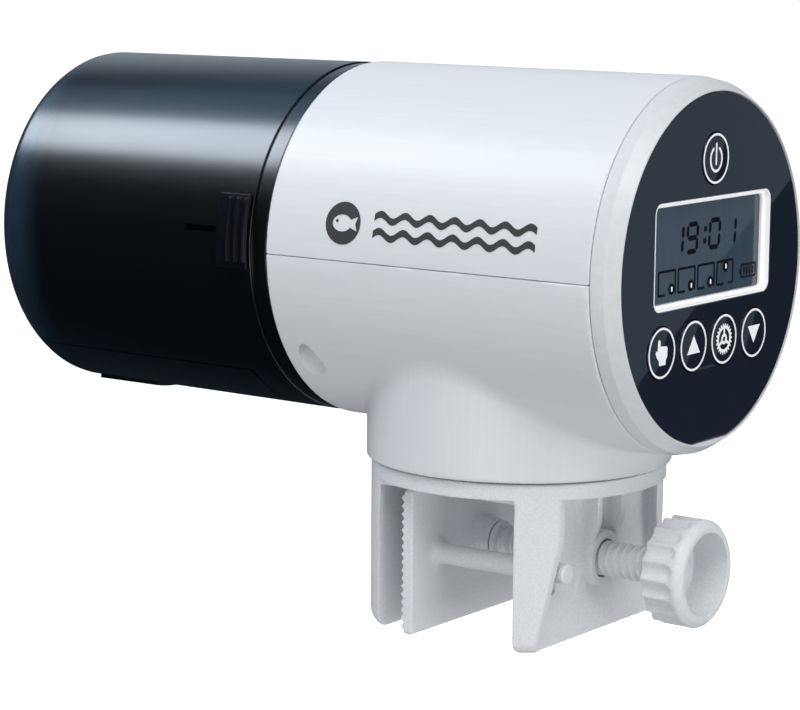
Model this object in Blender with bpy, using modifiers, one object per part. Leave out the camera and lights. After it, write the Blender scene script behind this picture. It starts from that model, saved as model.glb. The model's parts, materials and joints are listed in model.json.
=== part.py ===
"""Automatic fish feeder: a drum hopper turned by a geared motor, on a clamp for a tank's rim.

The origin is on the flat seat that rests on the tank's rim. +X runs along the drum's axis
towards the display, +Y to the rear and +Z up. All lengths in this file are millimetres and
are turned into metres when a mesh is made.
"""

import math

import bmesh
import bpy
from mathutils import Matrix

MM = 0.001
GAP = 0.3
BIG = 120.0
ROUND = 48

# Drum axis and housing
AXIS_Z = 41.7
BODY_X0 = -20.0
BODY_X1 = 48.3
BODY_R = 33.2
BODY_BORE_R = 31.0
BODY_END_WALL = 2.2
PARTING_HALF_GAP = 0.15

# Swivel neck and its flange on the clamp
SWIVEL_X = 13.0
NECK_R = 28.0
NECK_BORE_R = 25.8
NECK_Z0 = 4.2
NECK_FLOOR = 2.0
NECK_TOP_Z = AXIS_Z - 10.0
FLANGE_R = 27.1
FLANGE_Z0 = 0.9
FLANGE_Z1 = NECK_Z0 - 0.35
SEAT_HALF_Y = 22.0
SWIVEL_HEAD_R = 3.3
SWIVEL_SHANK_R = 1.5
SWIVEL_POCKET_R = 3.9
SWIVEL_POCKET_Z = 2.4
SWIVEL_BOSS_R = 4.2
SWIVEL_BOSS_TOP = 16.0

# Clamp jaws
JAW_BOTTOM_Z = -26.8
FIXED_JAW_FACE_X = -2.4
FIXED_JAW_PLATE = 2.2
FIXED_JAW_SKIN = 2.0
JAW_TIP_X = 2.7
JAW_VALLEY_X = 3.35
JAW_BACK_X = 5.3
JAW_TOP_Z = -0.3
JAW_HALF_Y = 22.6
TOOTH_PITCH = 1.48
TOOTH_COUNT = 17
ROD_Y = -14.3
ROD_Z = -12.9
ROD_R = 1.9
ROD_END_X = 33.5

# Screw bracket: a plate with four gussets and a threaded boss
BRACKET_X0 = 27.3
BRACKET_X1 = 29.5
GUSSET_EDGE_X = 33.5
GUSSET_FOOT_X = 30.4
GUSSET_KNEE_Z = -6.8
LEG_INNER_R = 25.7
INNER_GUSSET_Y = 4.7
INNER_GUSSET_T = 1.4
SCREW_Z = -12.7
SCREW_BOSS_R = 4.9
SCREW_BOSS_X1 = 31.3
SCREW_HOLE_R = 3.5

# Thumbscrew
THREAD_R = 3.2
THREAD_ROOT_R = 2.7
THREAD_PITCH = 1.6
THREAD_X0 = 10.3
FOOT_X0 = 6.2
FOOT_X1 = 8.6
FOOT_R = 3.1
FOOT_NECK_R = 2.0
KNOB_X0 = 45.1
KNOB_X1 = 53.2
KNOB_R = 9.7
KNOB_RECESS_R = 7.1
KNOB_FLOOR_X = 46.5
KNOB_HUB_R = 5.0
KNOB_HUB_X = 47.8
FLUTE_COUNT = 18
FLUTE_R = 1.7
FLUTE_END_X = 50.8

# Drum hopper
DRUM_X0 = -87.2
DRUM_X1 = -20.4
DRUM_R_END = 32.65
DRUM_R_MOUTH = 33.0
DRUM_WALL = 1.7
DRUM_EDGE_R = 2.6
HATCH_X1 = -31.7
HATCH_HALF_ANGLE = 43.8
HATCH_TONGUE_ANGLE = 46.2
HATCH_INNER_R = 31.0
HATCH_TONGUE_R = 31.7
HATCH_GROOVE_R0 = 30.6
HATCH_GROOVE_R1 = 32.0
RAIL_R0 = 29.5

# Outlet gate, on the front of the drum (angles count up from the front, -Y)
GATE_ANGLE = 6.0
GATE_HALF_ANGLE = 11.8
GATE_X0 = -31.4
GATE_X1 = -24.2
WINDOW_HALF_ANGLE = 8.0
WINDOW_X0 = -30.4
WINDOW_X1 = -25.2
GATE_TRAVEL = 7.5

# Collar that closes the drum's mouth and takes the drive
COLLAR_X0 = -30.8
COLLAR_X1 = -20.4
COLLAR_R = 30.8
COLLAR_SKIN = 1.5
COLLAR_WEB_X = -22.0

# Gear train
MODULE = 0.6
HUB_TEETH = 36
SMALL_TEETH = 12
BIG_TEETH = 36
PINION_TEETH = 10
HUB_GEAR_X = (-16.6, -13.9)
BIG_GEAR_X = (-13.3, -11.3)
PINION_X = (-13.6, -11.0)
PINION_ANGLE = 155.0
SHAFT_R = 4.3
BUSH_BORE_R = 4.55
BUSH_R = 5.6
HEX_FLATS = 7.4
PLATE_X = (-10.4, -8.6)
MOTOR_X = (-8.2, 16.8)
MOTOR_R = 10.0

# Front end: ring, lens panel, display and keys
RING_X0 = 48.6
RING_BAND_X = 50.8
RING_X1 = 53.2
PANEL_X0 = 51.0
PANEL_X1 = 53.0
PANEL_R = 30.5
PANEL_FLAT = 29.9
DISPLAY_Y = -0.1
DISPLAY_Z = AXIS_Z + 3.45
DISPLAY_OPENING = (39.9, 18.6)
DISPLAY_FRAME = (39.3, 18.0)
DISPLAY_WINDOW = (37.6, 16.6)
KEY_R = 4.4
KEY_HOLE_R = 4.65
KEY_FLANGE_R = 4.95
KEY_FRONT_X = 53.3
KEY_BACK_X = 48.6
KEYS = {
    "key_power": (-0.7, 19.2),
    "key_feed": (-17.4, -12.7),
    "key_up": (-6.8, -12.7),
    "key_set": (3.7, -12.7),
    "key_down": (14.3, -12.8),
}
BOARD_X = (43.0, 44.6)
MAT_X = (46.9, 47.3)

# Battery bay, at the upper rear (angles count up from the rear, +Y)
CELL_R = 7.25
CELL_X0 = -9.6
CELL_LENGTH = 50.5
CELL_CENTRES = ((20.4, 6.6), (10.75, 18.6))
DOOR_ANGLES = (6.5, 73.5)
DOOR_X = (-11.2, 41.2)
DOOR_INNER_R = 31.2

# Screws that hold the two shells together
SHELL_SCREW_X = -14.8
SHELL_SCREW_Y = 26.6
SHELL_BOSS_R = 3.2


# ---------------------------------------------------------------- scene and materials

def clear_scene():
    for item in list(bpy.data.objects):
        bpy.data.objects.remove(item, do_unlink=True)


def new_collection(name):
    group = bpy.data.collections.new(name)
    bpy.context.scene.collection.children.link(group)
    return group


def material(name, color, roughness, metallic=0.0):
    mat = bpy.data.materials.new(name)
    mat.use_nodes = True
    shader = mat.node_tree.nodes["Principled BSDF"]
    shader.inputs["Base Color"].default_value = (*color, 1.0)
    shader.inputs["Roughness"].default_value = roughness
    shader.inputs["Metallic"].default_value = metallic
    mat.diffuse_color = (*color, 1.0)
    return mat


def link(name, mesh):
    item = bpy.data.objects.new(name, mesh)
    PARTS.objects.link(item)
    return item


def mesh_from(name, bm):
    bmesh.ops.recalc_face_normals(bm, faces=bm.faces)
    mesh = bpy.data.meshes.new(name)
    bm.to_mesh(mesh)
    bm.free()
    mesh.shade_smooth()
    mesh.set_sharp_from_angle(angle=math.radians(30.0))
    return mesh


# ---------------------------------------------------------------- basic shapes

def box(name, x, y, z):
    """A block between pairs of x, y and z."""
    bm = bmesh.new()
    bmesh.ops.create_cube(bm, size=1.0)
    for vert in bm.verts:
        vert.co.x = MM * (x[0] + (vert.co.x + 0.5) * (x[1] - x[0]))
        vert.co.y = MM * (y[0] + (vert.co.y + 0.5) * (y[1] - y[0]))
        vert.co.z = MM * (z[0] + (vert.co.z + 0.5) * (z[1] - z[0]))
    return link(name, mesh_from(name, bm))


def cylinder(name, axis, centre, radius, span, segments=24):
    """A cylinder along X or Z; centre is its other two coordinates in x, y, z order."""
    middle = (span[0] + span[1]) / 2
    if axis == "X":
        turn = Matrix.Rotation(math.radians(90.0), 4, "Y")
        place = Matrix.Translation((MM * middle, MM * centre[0], MM * centre[1]))
    else:
        turn = Matrix.Identity(4)
        place = Matrix.Translation((MM * centre[0], MM * centre[1], MM * middle))
    bm = bmesh.new()
    bmesh.ops.create_cone(bm, cap_ends=True, segments=segments, radius1=MM * radius,
                          radius2=MM * radius, depth=MM * (span[1] - span[0]),
                          matrix=place @ turn)
    return link(name, mesh_from(name, bm))


def turned(name, profile, centre, axis="X", steps=48):
    """A turned solid. profile holds (axial position, radius) pairs, walked so that the outer
    side runs from the high end to the low end; centre is the axis's other two coordinates."""
    bm = bmesh.new()
    points = [bm.verts.new((MM * radius, 0.0, MM * along)) for along, radius in profile]
    for first, second in zip(points, points[1:]):
        bm.edges.new((first, second))
    if profile[0][1] > 0 and profile[-1][1] > 0:
        bm.edges.new((points[-1], points[0]))
    mesh = bpy.data.meshes.new(name)
    bm.to_mesh(mesh)
    bm.free()
    item = link(name, mesh)
    if axis == "X":
        item.rotation_euler = (0.0, math.radians(90.0), 0.0)
        item.location = (0.0, MM * centre[0], MM * centre[1])
    else:
        item.location = (MM * centre[0], MM * centre[1], 0.0)
    screw = item.modifiers.new("Turn", "SCREW")
    screw.steps = steps
    screw.render_steps = steps
    screw.use_merge_vertices = True
    screw.merge_threshold = 0.00001
    screw.use_smooth_shade = True
    return item


PLANES = {
    "X": Matrix(((0, 0, 1, 0), (1, 0, 0, 0), (0, 1, 0, 0), (0, 0, 0, 1))),
    "Y": Matrix(((1, 0, 0, 0), (0, 0, -1, 0), (0, 1, 0, 0), (0, 0, 0, 1))),
    "Z": Matrix.Identity(4),
}


def slab(name, axis, span, outline, holes=()):
    """A flat outline in the plane across an axis, with a thickness along that axis."""
    curve = bpy.data.curves.new(name, "CURVE")
    curve.dimensions = "2D"
    curve.fill_mode = "BOTH"
    curve.extrude = MM * (span[1] - span[0]) / 2
    for ring in (outline, *holes):
        spline = curve.splines.new("POLY")
        spline.points.add(len(ring) - 1)
        for point, (u, v) in zip(spline.points, ring):
            point.co = (MM * u, MM * v, 0.0, 1.0)
        spline.use_cyclic_u = True
    source = bpy.data.objects.new(name + "_outline", curve)
    bpy.context.scene.collection.objects.link(source)
    bpy.context.view_layer.update()
    graph = bpy.context.evaluated_depsgraph_get()
    mesh = bpy.data.meshes.new_from_object(source.evaluated_get(graph))
    bpy.data.objects.remove(source, do_unlink=True)
    bm = bmesh.new()
    bm.from_mesh(mesh)
    bmesh.ops.remove_doubles(bm, verts=bm.verts, dist=0.000001)
    middle = MM * (span[0] + span[1]) / 2
    offset = {"X": (middle, 0, 0), "Y": (0, middle, 0), "Z": (0, 0, middle)}[axis]
    bmesh.ops.transform(bm, matrix=Matrix.Translation(offset) @ PLANES[axis], verts=bm.verts)
    return link(name, mesh_from(name, bm))


# ---------------------------------------------------------------- outlines

def circle(u, v, radius, count=24):
    steps = [2 * math.pi * index / count for index in range(count)]
    return [(u + radius * math.cos(a), v + radius * math.sin(a)) for a in steps]


def around(radius, angle):
    """A point across the drum's axis; the angle counts up from the front (-Y)."""
    turn = math.radians(angle)
    return (-radius * math.cos(turn), AXIS_Z + radius * math.sin(turn))


def arc(radius, start, stop, step=5.6):
    count = max(2, round(abs(stop - start) / step) + 1)
    return [around(radius, start + (stop - start) * i / (count - 1)) for i in range(count)]


def sector(inner, outer, start, stop):
    return arc(outer, start, stop) + arc(inner, stop, start)


def half_disc(radius, sign):
    """Half of a disc on the drum's axis, above (1) or below (-1) the parting line."""
    lean = math.degrees(math.asin(PARTING_HALF_GAP / radius))
    return arc(radius, sign * lean, sign * (180.0 - lean))


def rounded_rect(u, v, width, height, radius, count=4):
    points = []
    for corner, (su, sv) in enumerate(((1, 1), (-1, 1), (-1, -1), (1, -1))):
        cu = u + su * (width / 2 - radius)
        cv = v + sv * (height / 2 - radius)
        for index in range(count + 1):
            turn = math.radians(90.0 * (corner + index / count))
            points.append((cu + radius * math.cos(turn), cv + radius * math.sin(turn)))
    return points


def gear_outline(u, v, teeth, toward):
    """Straight-flanked teeth with backlash; one tooth is centred on the angle toward."""
    pitch_r = MODULE * teeth / 2
    levels = ((pitch_r - 0.75, 0.57), (pitch_r + 0.5, 0.20))
    points = []
    for tooth in range(teeth):
        middle = math.radians(toward) + 2 * math.pi * tooth / teeth
        flank = [(r, -MODULE * w / r) for r, w in levels]
        flank += [(r, MODULE * w / r) for r, w in reversed(levels)]
        for radius, lean in flank:
            turn = middle + 1.05 * lean
            points.append((u + radius * math.cos(turn), v + radius * math.sin(turn)))
    return points


# ---------------------------------------------------------------- joining and cutting

def combine(target, tool, operation):
    for group in list(tool.users_collection):
        group.objects.unlink(tool)
    CUTTERS.objects.link(tool)
    tool.hide_render = True
    tool.display_type = "WIRE"
    step = target.modifiers.new(operation.title(), "BOOLEAN")
    step.operation = operation
    step.solver = "EXACT"
    step.object = tool


def cut(target, *tools):
    for tool in tools:
        combine(target, tool, "DIFFERENCE")


def join(target, *tools):
    for tool in tools:
        combine(target, tool, "UNION")


def keep(target, *tools):
    for tool in tools:
        combine(target, tool, "INTERSECT")


def paint(item, mat):
    item.data.materials.clear()
    item.data.materials.append(mat)
    return item


def pivot(name, place, *items):
    """An empty on a joint's axis, as the parent of the pieces that move about it."""
    empty = bpy.data.objects.new(name, None)
    PARTS.objects.link(empty)
    empty.empty_display_size = 0.01
    empty.location = tuple(MM * value for value in place)
    undo = Matrix.Translation([-MM * value for value in place])
    for item in items:
        item.parent = empty
        item.matrix_parent_inverse = undo


# ---------------------------------------------------------------- clamp

def make_clamp_base():
    """One moulding: a round flange with a fixed jaw and a screw bracket hanging from it."""
    centre = (SWIVEL_X, 0.0)
    base = cylinder("clamp_base", "Z", centre, FLANGE_R, (JAW_BOTTOM_Z, FLANGE_Z1), ROUND)
    mouth = (FIXED_JAW_FACE_X, BRACKET_X0)
    cut(base, box("jaw_mouth", mouth, (-BIG, BIG), (-BIG, 0.0)))
    cut(base, box("front_step", mouth, (-BIG, -SEAT_HALF_Y), (-1.0, FLANGE_Z0)))
    cut(base, box("rear_step", mouth, (SEAT_HALF_Y, BIG), (-1.0, FLANGE_Z0)))
    cut(base, fixed_jaw_hollow(), bracket_hollow(), bracket_outside())
    cut(base, cylinder("screw_hole", "X", (0.0, SCREW_Z), SCREW_HOLE_R, (20.0, 40.0), 24))
    cut(base, cylinder("rod_hole", "X", (ROD_Y, ROD_Z), ROD_R + GAP, (20.0, 40.0), 14))
    slot_y = (ROD_Y - 1.8, ROD_Y + 1.8)
    cut(base, box("rod_slot", (20.0, BRACKET_X1 + 0.2), slot_y, (ROD_Z - 4.4, ROD_Z)))
    cut(base, cylinder("swivel_pocket", "Z", centre, SWIVEL_POCKET_R, (-1.0, SWIVEL_POCKET_Z), 24))
    cut(base, cylinder("swivel_hole", "Z", centre, SWIVEL_SHANK_R + 0.4, (1.0, 6.0), 24))
    return base


def fixed_jaw_hollow():
    """The space between the jaw's curved skin and its flat plate, with two ribs left in it."""
    hollow = cylinder("jaw_hollow", "Z", (SWIVEL_X, 0.0), FLANGE_R - FIXED_JAW_SKIN,
                      (JAW_BOTTOM_Z - 5, -1.2), ROUND)
    cut(hollow, box("jaw_plate", (FIXED_JAW_FACE_X - FIXED_JAW_PLATE, BIG), (-BIG, BIG), (-BIG, BIG)))
    cut(hollow, box("jaw_rib_front", (-BIG, BIG), (-8.2, -6.8), (-BIG, BIG)))
    cut(hollow, box("jaw_rib_rear", (-BIG, BIG), (6.8, 8.2), (-BIG, BIG)))
    return hollow


def bracket_hollow():
    """The space behind the bracket's plate, around two gussets and the threaded boss."""
    hollow = cylinder("bracket_hollow", "Z", (SWIVEL_X, 0.0), LEG_INNER_R,
                      (JAW_BOTTOM_Z - 5, FLANGE_Z0), ROUND)
    cut(hollow, box("bracket_plate", (-BIG, BRACKET_X1), (-BIG, BIG), (-BIG, BIG)))
    foot = BRACKET_X1 - 1.0
    rib = [(foot, FLANGE_Z0 + 2.0), (foot, SCREW_Z - 3.5), (GUSSET_FOOT_X, SCREW_Z - 1.0),
           (GUSSET_EDGE_X, GUSSET_KNEE_Z + 1.6), (GUSSET_EDGE_X + 9.0, FLANGE_Z0 + 2.0)]
    for side in (-1, 1):
        span = sorted((side * (INNER_GUSSET_Y - INNER_GUSSET_T), side * INNER_GUSSET_Y))
        cut(hollow, slab("inner_gusset", "Y", span, rib))
    cut(hollow, cylinder("screw_boss", "X", (0.0, SCREW_Z), SCREW_BOSS_R, (20.0, SCREW_BOSS_X1), 32))
    return hollow


def bracket_outside():
    """Everything outboard of the gussets' edge, below the flange."""
    profile = [(GUSSET_FOOT_X - 1.0, JAW_BOTTOM_Z - 6.67), (GUSSET_EDGE_X, GUSSET_KNEE_Z),
               (GUSSET_EDGE_X, FLANGE_Z0), (BIG, FLANGE_Z0), (BIG, JAW_BOTTOM_Z - 6.67)]
    return slab("bracket_outside", "Y", (-BIG, BIG), profile)


def make_pressure_jaw():
    """The sliding plate with its teeth, a guide rod and the socket for the screw's foot."""
    outline = [(JAW_BACK_X, JAW_TOP_Z), (JAW_VALLEY_X + 0.5, JAW_TOP_Z)]
    start = JAW_TOP_Z - 0.7
    for tooth in range(TOOTH_COUNT):
        outline.append((JAW_VALLEY_X, start - tooth * TOOTH_PITCH))
        outline.append((JAW_TIP_X, start - (tooth + 0.5) * TOOTH_PITCH))
    outline.append((JAW_VALLEY_X, start - TOOTH_COUNT * TOOTH_PITCH))
    outline += [(JAW_VALLEY_X + 0.5, JAW_BOTTOM_Z), (JAW_BACK_X - 0.5, JAW_BOTTOM_Z)]
    outline.append((JAW_BACK_X, JAW_BOTTOM_Z + 0.4))
    jaw = slab("pressure_jaw", "Y", (-JAW_HALF_Y, JAW_HALF_Y), outline)
    rod = [(ROD_END_X, 0.0), (ROD_END_X, ROD_R - 0.5), (ROD_END_X - 0.5, ROD_R),
           (JAW_BACK_X + 0.7, ROD_R), (JAW_BACK_X, ROD_R + 0.7), (JAW_BACK_X - 1.0, ROD_R + 0.7),
           (JAW_BACK_X - 1.0, 0.0)]
    join(jaw, turned("guide_rod", rod, (ROD_Y, ROD_Z), steps=14))
    socket = [(8.9, 0.0), (8.9, 3.9), (7.3, 3.95), (7.3, 4.5), (4.5, 4.6), (4.5, 0.0)]
    join(jaw, turned("foot_socket", socket, (0.0, SCREW_Z), steps=20))
    cut(jaw, cylinder("socket_bore", "X", (0.0, SCREW_Z), FOOT_R + GAP, (5.9, 12.0), 24))
    return jaw


def make_screw_cap():
    """The snap ring that keeps the screw's foot in the jaw's socket."""
    ring = [(10.0, 2.35), (10.0, 3.4), (9.7, 3.8), (9.2, 3.8), (9.2, 2.35)]
    return turned("screw_cap", ring, (0.0, SCREW_Z), steps=24)


def make_thumbscrew():
    thread = [(THREAD_X0, FOOT_NECK_R), (THREAD_X0, THREAD_ROOT_R)]
    turns = int((KNOB_X0 - THREAD_X0) / THREAD_PITCH)
    for index in range(turns):
        start = THREAD_X0 + 0.2 + index * THREAD_PITCH
        thread += [(start + THREAD_PITCH / 2, THREAD_R), (start + THREAD_PITCH, THREAD_ROOT_R)]
    thread = thread[:-1] + [(KNOB_X0 + 0.5, THREAD_ROOT_R), (KNOB_X0 + 0.5, 0.0)]
    foot = [(FOOT_X0, 0.0), (FOOT_X0, FOOT_R - 0.4), (FOOT_X0 + 0.4, FOOT_R),
            (FOOT_X1, FOOT_R), (FOOT_X1, FOOT_NECK_R)]
    profile = list(reversed(foot + thread))
    screw = turned("thumbscrew", profile, (0.0, SCREW_Z), steps=12)
    join(screw, make_knob())
    return screw


def make_knob():
    edge = KNOB_X1 - 2.0
    rim = [(KNOB_FLOOR_X, KNOB_HUB_R), (KNOB_FLOOR_X, KNOB_RECESS_R), (KNOB_X1 - 0.4, KNOB_RECESS_R + 0.1),
           (KNOB_X1, KNOB_RECESS_R + 0.5), (KNOB_X1 - 0.2, KNOB_R - 1.4), (KNOB_X1 - 0.8, KNOB_R - 0.6),
           (edge, KNOB_R - 0.1), (KNOB_X0 + 0.5, KNOB_R), (KNOB_X0, KNOB_R - 0.5), (KNOB_X0, 0.0)]
    hub = [(KNOB_HUB_X, 0.0), (KNOB_HUB_X, KNOB_HUB_R - 1.0), (KNOB_HUB_X - 0.6, KNOB_HUB_R)]
    knob = turned("knob", hub + rim, (0.0, SCREW_Z), steps=32)
    ring = KNOB_R + 0.9
    for index in range(FLUTE_COUNT):
        turn = 2 * math.pi * (index + 0.5) / FLUTE_COUNT
        place = (ring * math.cos(turn), SCREW_Z + ring * math.sin(turn))
        cut(knob, cylinder("flute", "X", place, FLUTE_R, (KNOB_X0 - 2.0, FLUTE_END_X), 6))
    return knob


# ---------------------------------------------------------------- swivel

def make_swivel_screw():
    profile = [(12.0, 0.0), (12.0, SWIVEL_SHANK_R - 0.3), (11.6, SWIVEL_SHANK_R), (1.6, SWIVEL_SHANK_R),
               (1.6, SWIVEL_HEAD_R), (0.7, SWIVEL_HEAD_R), (0.35, SWIVEL_HEAD_R - 0.5), (0.35, 0.0)]
    screw = turned("swivel_screw", profile, (SWIVEL_X, 0.0), axis="Z", steps=24)
    for half in ((2.0, 0.45), (0.45, 2.0)):
        cut(screw, box("cross_slot", (SWIVEL_X - half[0], SWIVEL_X + half[0]),
                       (-half[1], half[1]), (0.0, 0.9)))
    return screw


def make_swivel_washer():
    ring = [(2.2, SWIVEL_SHANK_R + GAP), (2.2, 3.5), (1.8, 3.5), (1.8, SWIVEL_SHANK_R + GAP)]
    return turned("swivel_washer", ring, (SWIVEL_X, 0.0), axis="Z", steps=24)


# ---------------------------------------------------------------- housing

def cut_shell(shell):
    axis = (0.0, AXIS_Z)
    cut(shell, cylinder("body_bore", "X", axis, BODY_BORE_R,
                        (BODY_X0 + BODY_END_WALL, BODY_X1 + 5), ROUND))
    cut(shell, cylinder("bush_hole", "X", axis, BUSH_R + GAP, (BODY_X0 - 5, 0.0), 32))


def make_lower_shell():
    """The lower half of the housing, with the neck that turns on the clamp's flange."""
    shell = slab("lower_shell", "X", (BODY_X0, BODY_X1), half_disc(BODY_R, -1))
    centre = (SWIVEL_X, 0.0)
    join(shell, cylinder("neck", "Z", centre, NECK_R, (NECK_Z0, NECK_TOP_Z), ROUND))
    cut_shell(shell)
    cut(shell, cylinder("neck_bore", "Z", centre, NECK_BORE_R, (NECK_Z0 + NECK_FLOOR, AXIS_Z), ROUND))
    join(shell, cylinder("swivel_boss", "Z", centre, SWIVEL_BOSS_R,
                         (NECK_Z0 + 1.0, SWIVEL_BOSS_TOP), 24))
    cut(shell, cylinder("swivel_thread", "Z", centre, SWIVEL_SHANK_R + GAP,
                        (0.0, SWIVEL_BOSS_TOP + 2), 24))
    for side in (-1, 1):
        place = (SHELL_SCREW_X, side * SHELL_SCREW_Y)
        boss = (AXIS_Z - 14.6, AXIS_Z - PARTING_HALF_GAP)
        join(shell, cylinder("lower_boss", "Z", place, SHELL_BOSS_R, boss, 20))
        cut(shell, cylinder("head_recess", "Z", place, 2.5, (AXIS_Z - 30, AXIS_Z - 13.0), 20))
        cut(shell, cylinder("shank_hole", "Z", place, 1.4, (AXIS_Z - 30, AXIS_Z + 5), 16))
    return shell


def make_upper_shell():
    shell = slab("upper_shell", "X", (BODY_X0, BODY_X1), half_disc(BODY_R, 1))
    cut_shell(shell)
    opening = sector(BODY_BORE_R - 2, BODY_R + 2, 180.0 - DOOR_ANGLES[1] - 0.6,
                     180.0 - DOOR_ANGLES[0] + 0.6)
    cut(shell, slab("door_opening", "X", (DOOR_X[0] - GAP, DOOR_X[1] + GAP), opening))
    for side in (-1, 1):
        place = (SHELL_SCREW_X, side * SHELL_SCREW_Y)
        boss = (AXIS_Z + PARTING_HALF_GAP, AXIS_Z + 12.5)
        join(shell, cylinder("upper_boss", "Z", place, SHELL_BOSS_R - 0.3, boss, 20))
        cut(shell, cylinder("thread_hole", "Z", place, 1.4, (AXIS_Z - 2, AXIS_Z + 10), 16))
    return shell


def make_shell_screw(name, side):
    top = AXIS_Z - 13.4
    profile = [(AXIS_Z + 8, 0.0), (AXIS_Z + 8, 0.8), (AXIS_Z + 7.5, 1.1), (top, 1.1), (top, 2.1),
               (top - 1.1, 2.1), (top - 1.5, 1.6), (top - 1.5, 0.0)]
    place = (SHELL_SCREW_X, side * SHELL_SCREW_Y)
    screw = turned(name, profile, place, axis="Z", steps=16)
    for half in ((1.3, 0.3), (0.3, 1.3)):
        cut(screw, box("cross_slot", (place[0] - half[0], place[0] + half[0]),
                       (place[1] - half[1], place[1] + half[1]), (top - 3.0, top - 0.9)))
    return screw


def make_battery_door():
    """A curved door over the cells, hinged along its lower edge, with a finger ridge."""
    outline = sector(DOOR_INNER_R, BODY_R, 180.0 - DOOR_ANGLES[1], 180.0 - DOOR_ANGLES[0])
    door = slab("battery_door", "X", DOOR_X, outline)
    for offset in (0.0, 2.2, 4.4):
        start = 180.0 - DOOR_ANGLES[1] + 5.0 + offset
        ridge = sector(BODY_R - 0.5, BODY_R + 0.6, start, start + 1.2)
        join(door, slab("finger_ridge", "X", (8.0, 22.0), ridge))
    return door


def make_battery_tray():
    """A cradle under the two cells, open towards the door, with an end wall at each end."""
    centres = [(y, AXIS_Z + z) for y, z in CELL_CENTRES]
    span = (CELL_X0 - 1.8, CELL_X0 + CELL_LENGTH + 1.6)
    tray = cylinder("battery_tray", "X", centres[0], CELL_R + 1.5, span, 32)
    join(tray, cylinder("tray_high", "X", centres[1], CELL_R + 1.5, span, 32))
    inner = (span[0] + 0.6, span[1] - 0.6)
    for centre in centres:
        cut(tray, cylinder("tray_bore", "X", centre, CELL_R + GAP, inner, 32))
    cut(tray, slab("tray_channel", "X", inner, contact_outline((0, 1), 5.0, 2.0)))
    tilt = math.radians(39.0)
    reach = 60.0
    level = 20.0
    corners = ((level, -reach), (level + reach, -reach), (level + reach, reach), (level, reach))
    open_side = [(a * math.cos(tilt) - b * math.sin(tilt), AXIS_Z + a * math.sin(tilt) + b * math.cos(tilt))
                 for a, b in corners]
    cut(tray, slab("tray_mouth", "X", (-BIG, BIG), open_side))
    return tray


def make_cell(name, place, flip):
    """An AA cell; flip turns its button end to low X."""
    x0 = CELL_X0
    x1 = CELL_X0 + CELL_LENGTH
    profile = [(x1, 0.0), (x1, 2.6), (x1 - 1.2, 2.6), (x1 - 1.2, CELL_R - 0.8), (x1 - 1.8, CELL_R),
               (x0 + 0.5, CELL_R), (x0, CELL_R - 0.6), (x0, 0.0)]
    if flip:
        middle = x0 + x1
        profile = [(middle - along, radius) for along, radius in reversed(profile)]
    return turned(name, profile, (place[0], AXIS_Z + place[1]), steps=20)


def contact_outline(cells, half_width=4.5, reach=5.0):
    """A rectangle along the line of the two cells, over the ones listed."""
    tilt = math.radians(39.0)
    along = (-math.sin(tilt), math.cos(tilt))
    outward = (math.cos(tilt), math.sin(tilt))
    first = CELL_CENTRES[cells[0]]
    last = CELL_CENTRES[cells[-1]]
    points = []
    for (y, z), end in ((first, -1), (last, 1)):
        for side in (end, -end):
            points.append((y + along[0] * reach * end + outward[0] * half_width * side,
                           AXIS_Z + z + along[1] * reach * end + outward[1] * half_width * side))
    return points


# ---------------------------------------------------------------- front end

def make_front_ring():
    """The grey ring that closes the shells and holds the lens in a pocket."""
    profile = [(RING_X1, PANEL_R + 0.25), (RING_X1, PANEL_R + 0.55), (RING_BAND_X, BODY_R - 0.55),
               (RING_X0, BODY_R - 0.1), (RING_X0, BODY_BORE_R - GAP), (45.0, BODY_BORE_R - GAP),
               (45.0, 29.2), (PANEL_X0 - GAP, 29.2), (PANEL_X0 - GAP, PANEL_R + 0.25)]
    ring = turned("front_ring", profile, (0.0, AXIS_Z), steps=ROUND)
    join(ring, box("lens_key", (49.5, PANEL_X1), (-6.0, 6.0),
                   (AXIS_Z - PANEL_R - 0.6, AXIS_Z - PANEL_FLAT - 0.25)))
    return ring


def make_control_panel():
    """The dark lens: a disc with a flat at the bottom, the display's opening and key holes."""
    reach = math.degrees(math.asin(PANEL_FLAT / PANEL_R))
    outline = arc(PANEL_R, -reach, 180.0 + reach, 7.0)
    holes = [rounded_rect(DISPLAY_Y, DISPLAY_Z, *DISPLAY_OPENING, 2.0)]
    for y, z in KEYS.values():
        holes.append(circle(y, AXIS_Z + z, KEY_HOLE_R, 20))
    return slab("control_panel", "X", (PANEL_X0, PANEL_X1), outline, holes)


def make_lcd_frame():
    window = rounded_rect(DISPLAY_Y, DISPLAY_Z, *DISPLAY_WINDOW, 0.8, 2)
    front = rounded_rect(DISPLAY_Y, DISPLAY_Z, *DISPLAY_FRAME, 1.8)
    frame = slab("lcd_frame", "X", (49.9, PANEL_X1 - 1.15), front, [window])
    back = rounded_rect(DISPLAY_Y, DISPLAY_Z, 43.0, 20.4, 1.0, 2)
    wide = rounded_rect(DISPLAY_Y, DISPLAY_Z, DISPLAY_WINDOW[0] + 0.4, DISPLAY_WINDOW[1] + 0.4, 0.8, 2)
    join(frame, slab("frame_flange", "X", (49.2, PANEL_X0 - 0.4), back, [wide]))
    return frame


def make_lcd_module():
    glass = rounded_rect(DISPLAY_Y, DISPLAY_Z, DISPLAY_WINDOW[0] - 0.6, DISPLAY_WINDOW[1] - 0.6, 0.5, 2)
    return slab("lcd_module", "X", (48.0, 51.4), glass)


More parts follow.
